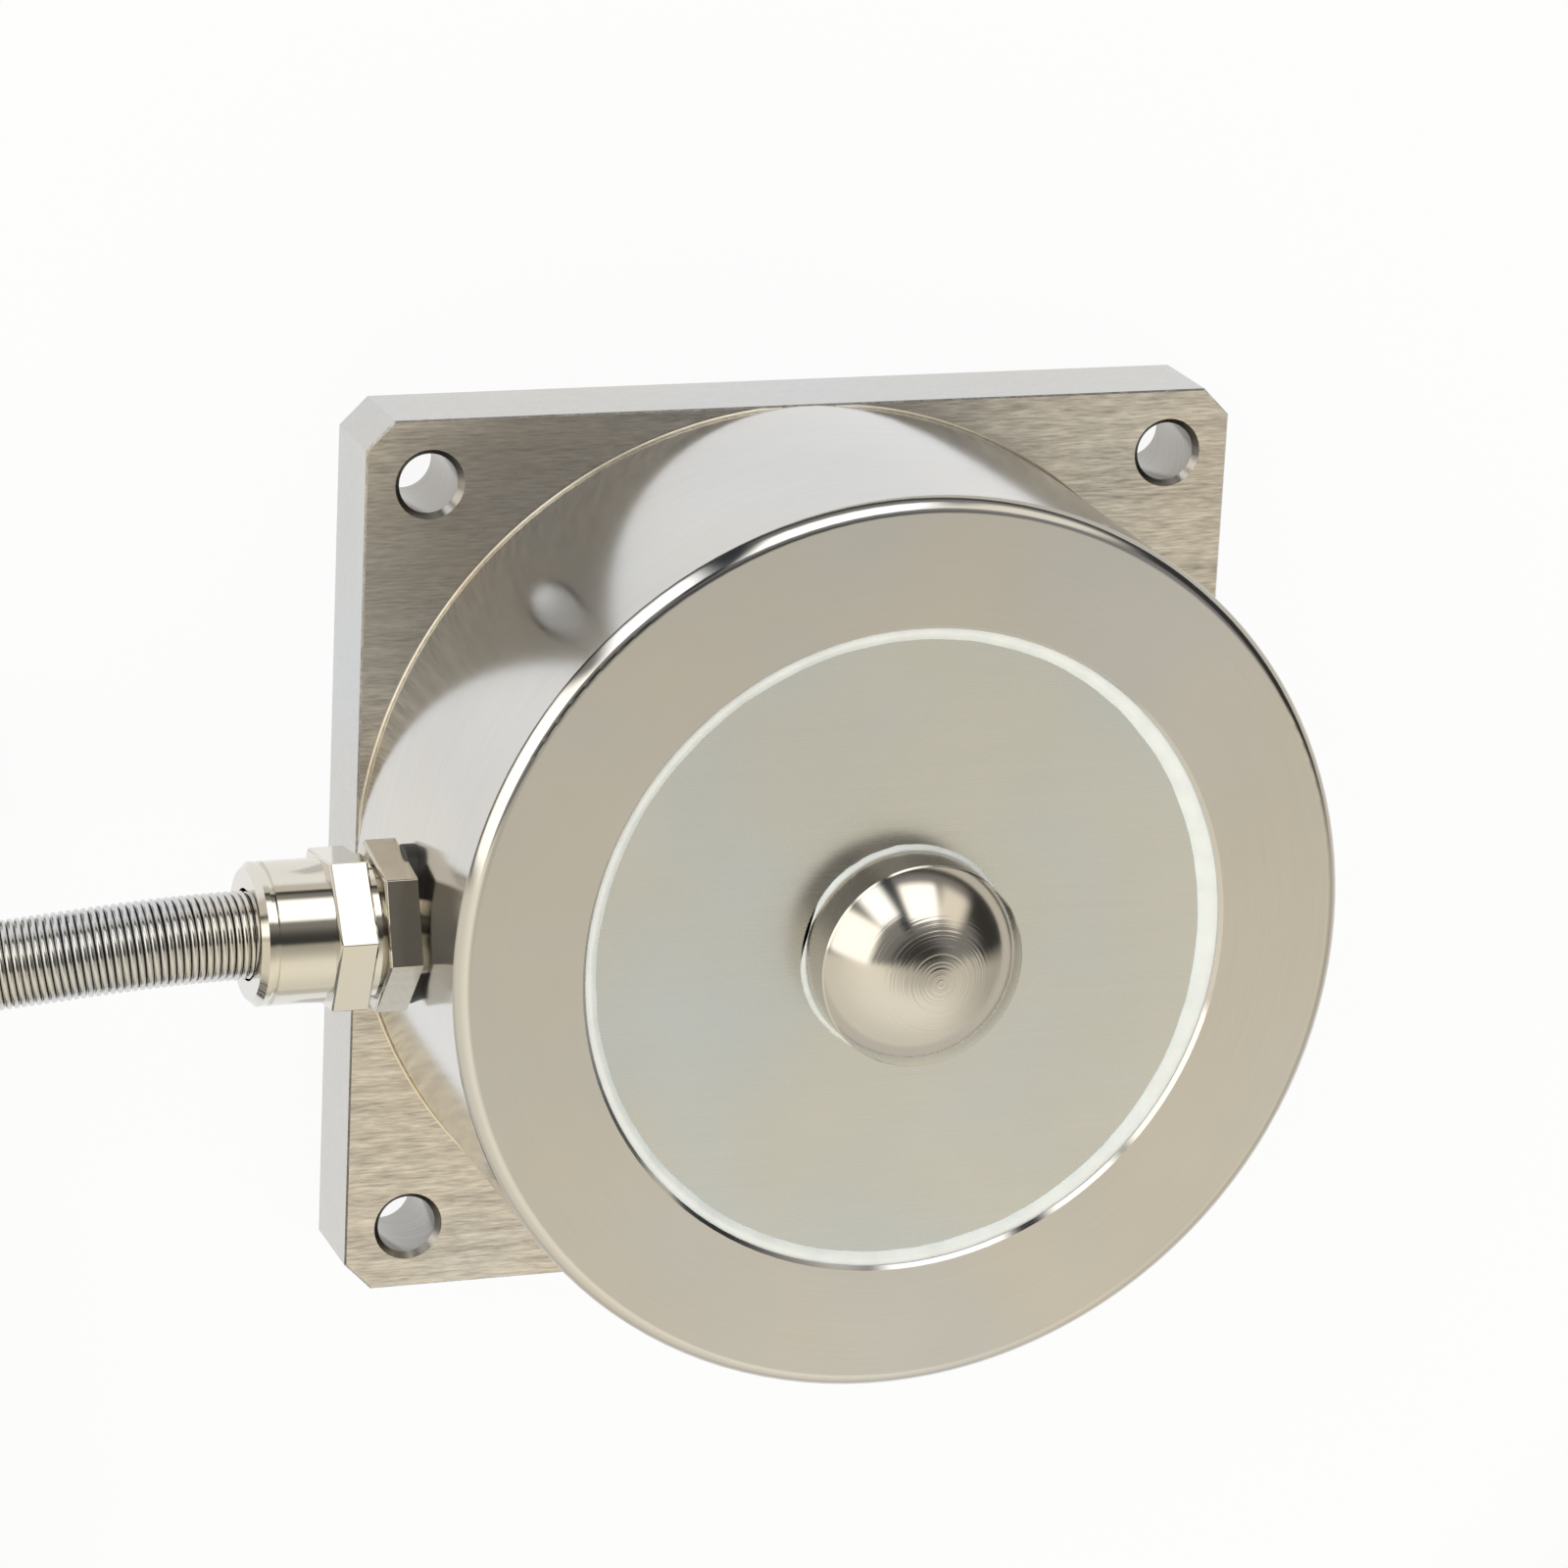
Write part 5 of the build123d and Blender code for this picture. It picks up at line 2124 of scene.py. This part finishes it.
    def build(self, workshop: Workshop) -> bpy.types.Object:
        """Join strap, teeth, head and tail into one tie.

        Args:
            workshop: Where finished meshes become pieces.

        Returns:
            The tie.
        """
        middle, outward, _ = self.frame()
        thickness = self.strap + self.tooth
        strap_top = self.top + self.clearance + thickness
        above = strap_top - middle.z
        head_middle = middle + UP * (above + self.head[1] / 2.0)
        tail_middle = middle + UP * (above + self.tail_lift)
        tail_middle += outward * (self.head[0] + self.tail_length) / 2.0
        parts = [
            self.strap_mesh(),
            self.teeth(),
            self.block(head_middle, self.head, self.head_bevel),
            self.block(tail_middle, (self.tail_length, thickness, self.width), self.tail_bevel),
        ]
        mesh = Workshop.join(f"nylon_tie_{self.number}", parts)
        Workshop.turn_outwards(mesh)
        mesh.shade_smooth()
        mesh.set_sharp_from_angle(angle=self.crease)
        node = f"coil_tie_{self.number}"
        piece = workshop.place(f"nylon_tie_{self.number}", mesh, (node,), NYLON)
        workshop.dress_node(node, NYLON)
        return piece


@dataclass
class LeadPlug:
    """Round four-pin connector on the lead's far end."""

    axis_x: float = PLUG_CENTRE[0]
    axis_z: float = PLUG_CENTRE[2]
    ring_start: float = 6.0 * MM
    ring_length: float = 15.0 * MM
    ring_bore: float = 6.6 * MM
    ring_radius: float = 7.05 * MM
    collar: float = 1.6 * MM
    bevel: float = 0.4 * MM
    outer_radius: float = 7.5 * MM
    rib_count: int = 36
    rib_radius: float = 0.42 * MM
    rib_sides: int = 8
    line_parts: int = 4
    reach: float = 12.0 * MM
    crease: float = math.radians(30.0)
    segments: int = 96

    def coupling_ring(self) -> bpy.types.Mesh:
        """Coupling ring: smooth collars at both ends, and grip ribs between them.

        Returns:
            The ring.
        """
        place = Matrix.Translation(Vector((self.axis_x, self.ring_start, self.axis_z)))
        place = place @ Matrix.Rotation(-HALF_TURN / 2.0, 4, "X")
        length = self.ring_length
        turning = Turning(self.ring_bore, 0.0)
        turning.line(self.outer_radius - self.bevel, 0.0).line(self.outer_radius, self.bevel)
        turning.line(self.outer_radius, self.collar).line(self.ring_radius, self.collar + self.bevel)
        turning.line(self.ring_radius, length - self.collar - self.bevel)
        turning.line(self.outer_radius, length - self.collar).line(self.outer_radius, length - self.bevel)
        turning.line(self.outer_radius - self.bevel, length).line(self.ring_bore, length)
        turning.line(self.ring_bore, 0.0)
        body = turning.mesh("coupling_ring_body", self.segments, place)
        return Workshop.join("coupling_ring", [body, self.ribs()])

    def ribs(self) -> bpy.types.Mesh:
        """Grip ribs, repeated round the ring.

        Returns:
            The ribs.
        """
        recipe = GeometryRecipe("ring_ribs")
        board = recipe.board
        count = recipe.size("Rib count", self.rib_count)
        rib = recipe.size("Rib radius", self.rib_radius)
        long = recipe.size("Rib length", self.ring_length - 2.0 * self.collar)
        finish = recipe.size("Finish", PLUG_METAL.material())
        points = board.node(
            "GeometryNodeCurveToPoints", {"mode": "COUNT"}, {"Curve": recipe.geometry, "Count": count}
        )
        sides = {"Vertices": self.rib_sides, "Radius": rib, "Depth": long}
        rod = board.read("GeometryNodeMeshCylinder", "Mesh", values=sides)
        turned = board.read(
            "FunctionNodeAxesToRotation",
            "Rotation",
            {"primary_axis": "Z", "secondary_axis": "X"},
            {"Primary Axis": (0.0, 1.0, 0.0), "Secondary Axis": Maths(board, points.outputs["Tangent"])},
        )
        rods = board.read(
            "GeometryNodeInstanceOnPoints",
            "Instances",
            values={"Points": Maths(board, points.outputs["Points"]), "Instance": rod, "Rotation": turned},
        )
        recipe.end(rods, finish)
        middle = Vector((self.axis_x, self.ring_start + self.ring_length / 2.0, self.axis_z))
        reach = self.outer_radius - self.rib_radius
        steps = self.line_parts * self.rib_count
        circle = []
        for step in range(steps):
            turn = FULL_TURN * step / steps
            circle.append(middle + Vector((math.cos(turn), 0.0, math.sin(turn))) * reach)
        return recipe.mesh(Workshop.carrier("rib_line", circle, closed=True))

    def build(self, workshop: Workshop) -> list[bpy.types.Object]:
        """Make the nut, shell, ring and insert, dress the pins, and give the pieces that go with the lead.

        Args:
            workshop: Where finished meshes become pieces.

        Returns:
            The pieces of the plug.
        """
        axis = Axis((self.axis_x, 0.0, self.axis_z), (0.0, 1.0, 0.0), self.reach)
        pieces = []
        for node, finish in (("plug_nut", PLUG_METAL), ("plug_shell", PLUG_METAL), ("plug_insert", INSERT)):
            mesh = SmoothCopy(node, (axis,)).mesh(workshop.frame)
            pieces.append(workshop.place(f"{node}_turned", mesh, (node,), finish))
            workshop.dress_node(node, finish)
        ring = self.coupling_ring()
        ring.shade_smooth()
        ring.set_sharp_from_angle(angle=self.crease)
        pieces.append(workshop.place("coupling_ring", ring, ("plug_ring",), PLUG_METAL))
        workshop.dress_node("plug_ring", PLUG_METAL)
        workshop.dress_node("plug_pins", BRASS)
        pieces.append(workshop.frame["nodes"]["plug_pins"])
        return pieces


@dataclass
class InnerParts:
    """What the covers hide: gauges, harness, board, resistors, cores and the cable's end."""

    gauge_count: int = 8
    resistor_count: int = 3

    def build(self, workshop: Workshop) -> None:
        """Dress the CAD nodes, whose shapes are right as they are.

        Args:
            workshop: Where finished meshes become pieces.
        """
        finishes: dict[str, Finish] = {
            "gauge_harness": MouldedFinish("harness_wire", (0.42, 0.09, 0.05), 0.35, 1200.0, coat=0.3),
            "terminal_board": MouldedFinish("board_green", (0.04, 0.2, 0.09), 0.35, 600.0, coat=0.4),
            "core_red": MouldedFinish("core_red", (0.5, 0.025, 0.025), 0.3),
            "core_black": MouldedFinish("core_black", (0.02, 0.02, 0.02), 0.3),
            "core_green": MouldedFinish("core_green", (0.025, 0.28, 0.07), 0.3),
            "core_white": MouldedFinish("core_white", (0.8, 0.8, 0.78), 0.3, mottle=0.05),
            "inner_cable": MouldedFinish("cable_jacket", (0.07, 0.07, 0.07), 0.5),
        }
        for number in range(self.gauge_count):
            finishes[f"strain_gauge_{number + 1}"] = GaugeFinish()
        for number in range(self.resistor_count):
            finishes[f"trim_resistor_{number + 1}"] = MouldedFinish("resistor_body", (0.03, 0.03, 0.03), 0.25)
        for node, finish in finishes.items():
            workshop.dress_node(node, finish)


def sealant_beads() -> list[LaidBead]:
    """The three beads: round the top cover, round the button's stem and round the bottom cover.

    Returns:
        The beads, ready to build.
    """
    return [
        LaidBead("rim_bead", "rim_sealant", 35.8 * MM, 49.5 * MM, 0.5 * MM, 1.4 * MM, 1.0,
                 wide_at=0.1, wide_more=0.75 * MM, seed=2.0),
        LaidBead("button_bead", "button_sealant", 11.25 * MM, 49.5 * MM, 0.55 * MM, 0.55 * MM, -1.0,
                 thin_at=2.9, thin_share=0.95, thin_spread=0.25, wander=0.1 * MM, seed=5.0, steps=240),
        LaidBead("bottom_bead", "bottom_sealant", 35.8 * MM, 0.6 * MM, -0.4 * MM, 1.2 * MM, 1.0, seed=9.0),
    ]


def main() -> None:
    """Build every sub-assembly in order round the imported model."""
    logging.basicConfig(level=logging.INFO, format="%(name)s %(message)s")
    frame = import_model()
    workshop = Workshop(frame)
    PhotoCamera().build()
    lead = ArmouredLead()
    cord, on_cord = lead.build(workshop)
    for number, degrees in enumerate(TIE_ANGLES, start=1):
        on_cord.append(CoilTie(number, math.radians(degrees)).build(workshop))
    on_cord += LeadPlug().build(workshop)
    lead.declare()
    Studio().build()
    CellBody().build(workshop)
    LoadButton().build(workshop)
    Covers().build(workshop)
    for bead in sealant_beads():
        bead.build(workshop)
    CableGland().build(workshop)
    InnerParts().build(workshop)
    bpy.context.scene.view_settings.view_transform = "Standard"


if __name__ == "__main__":
    main()
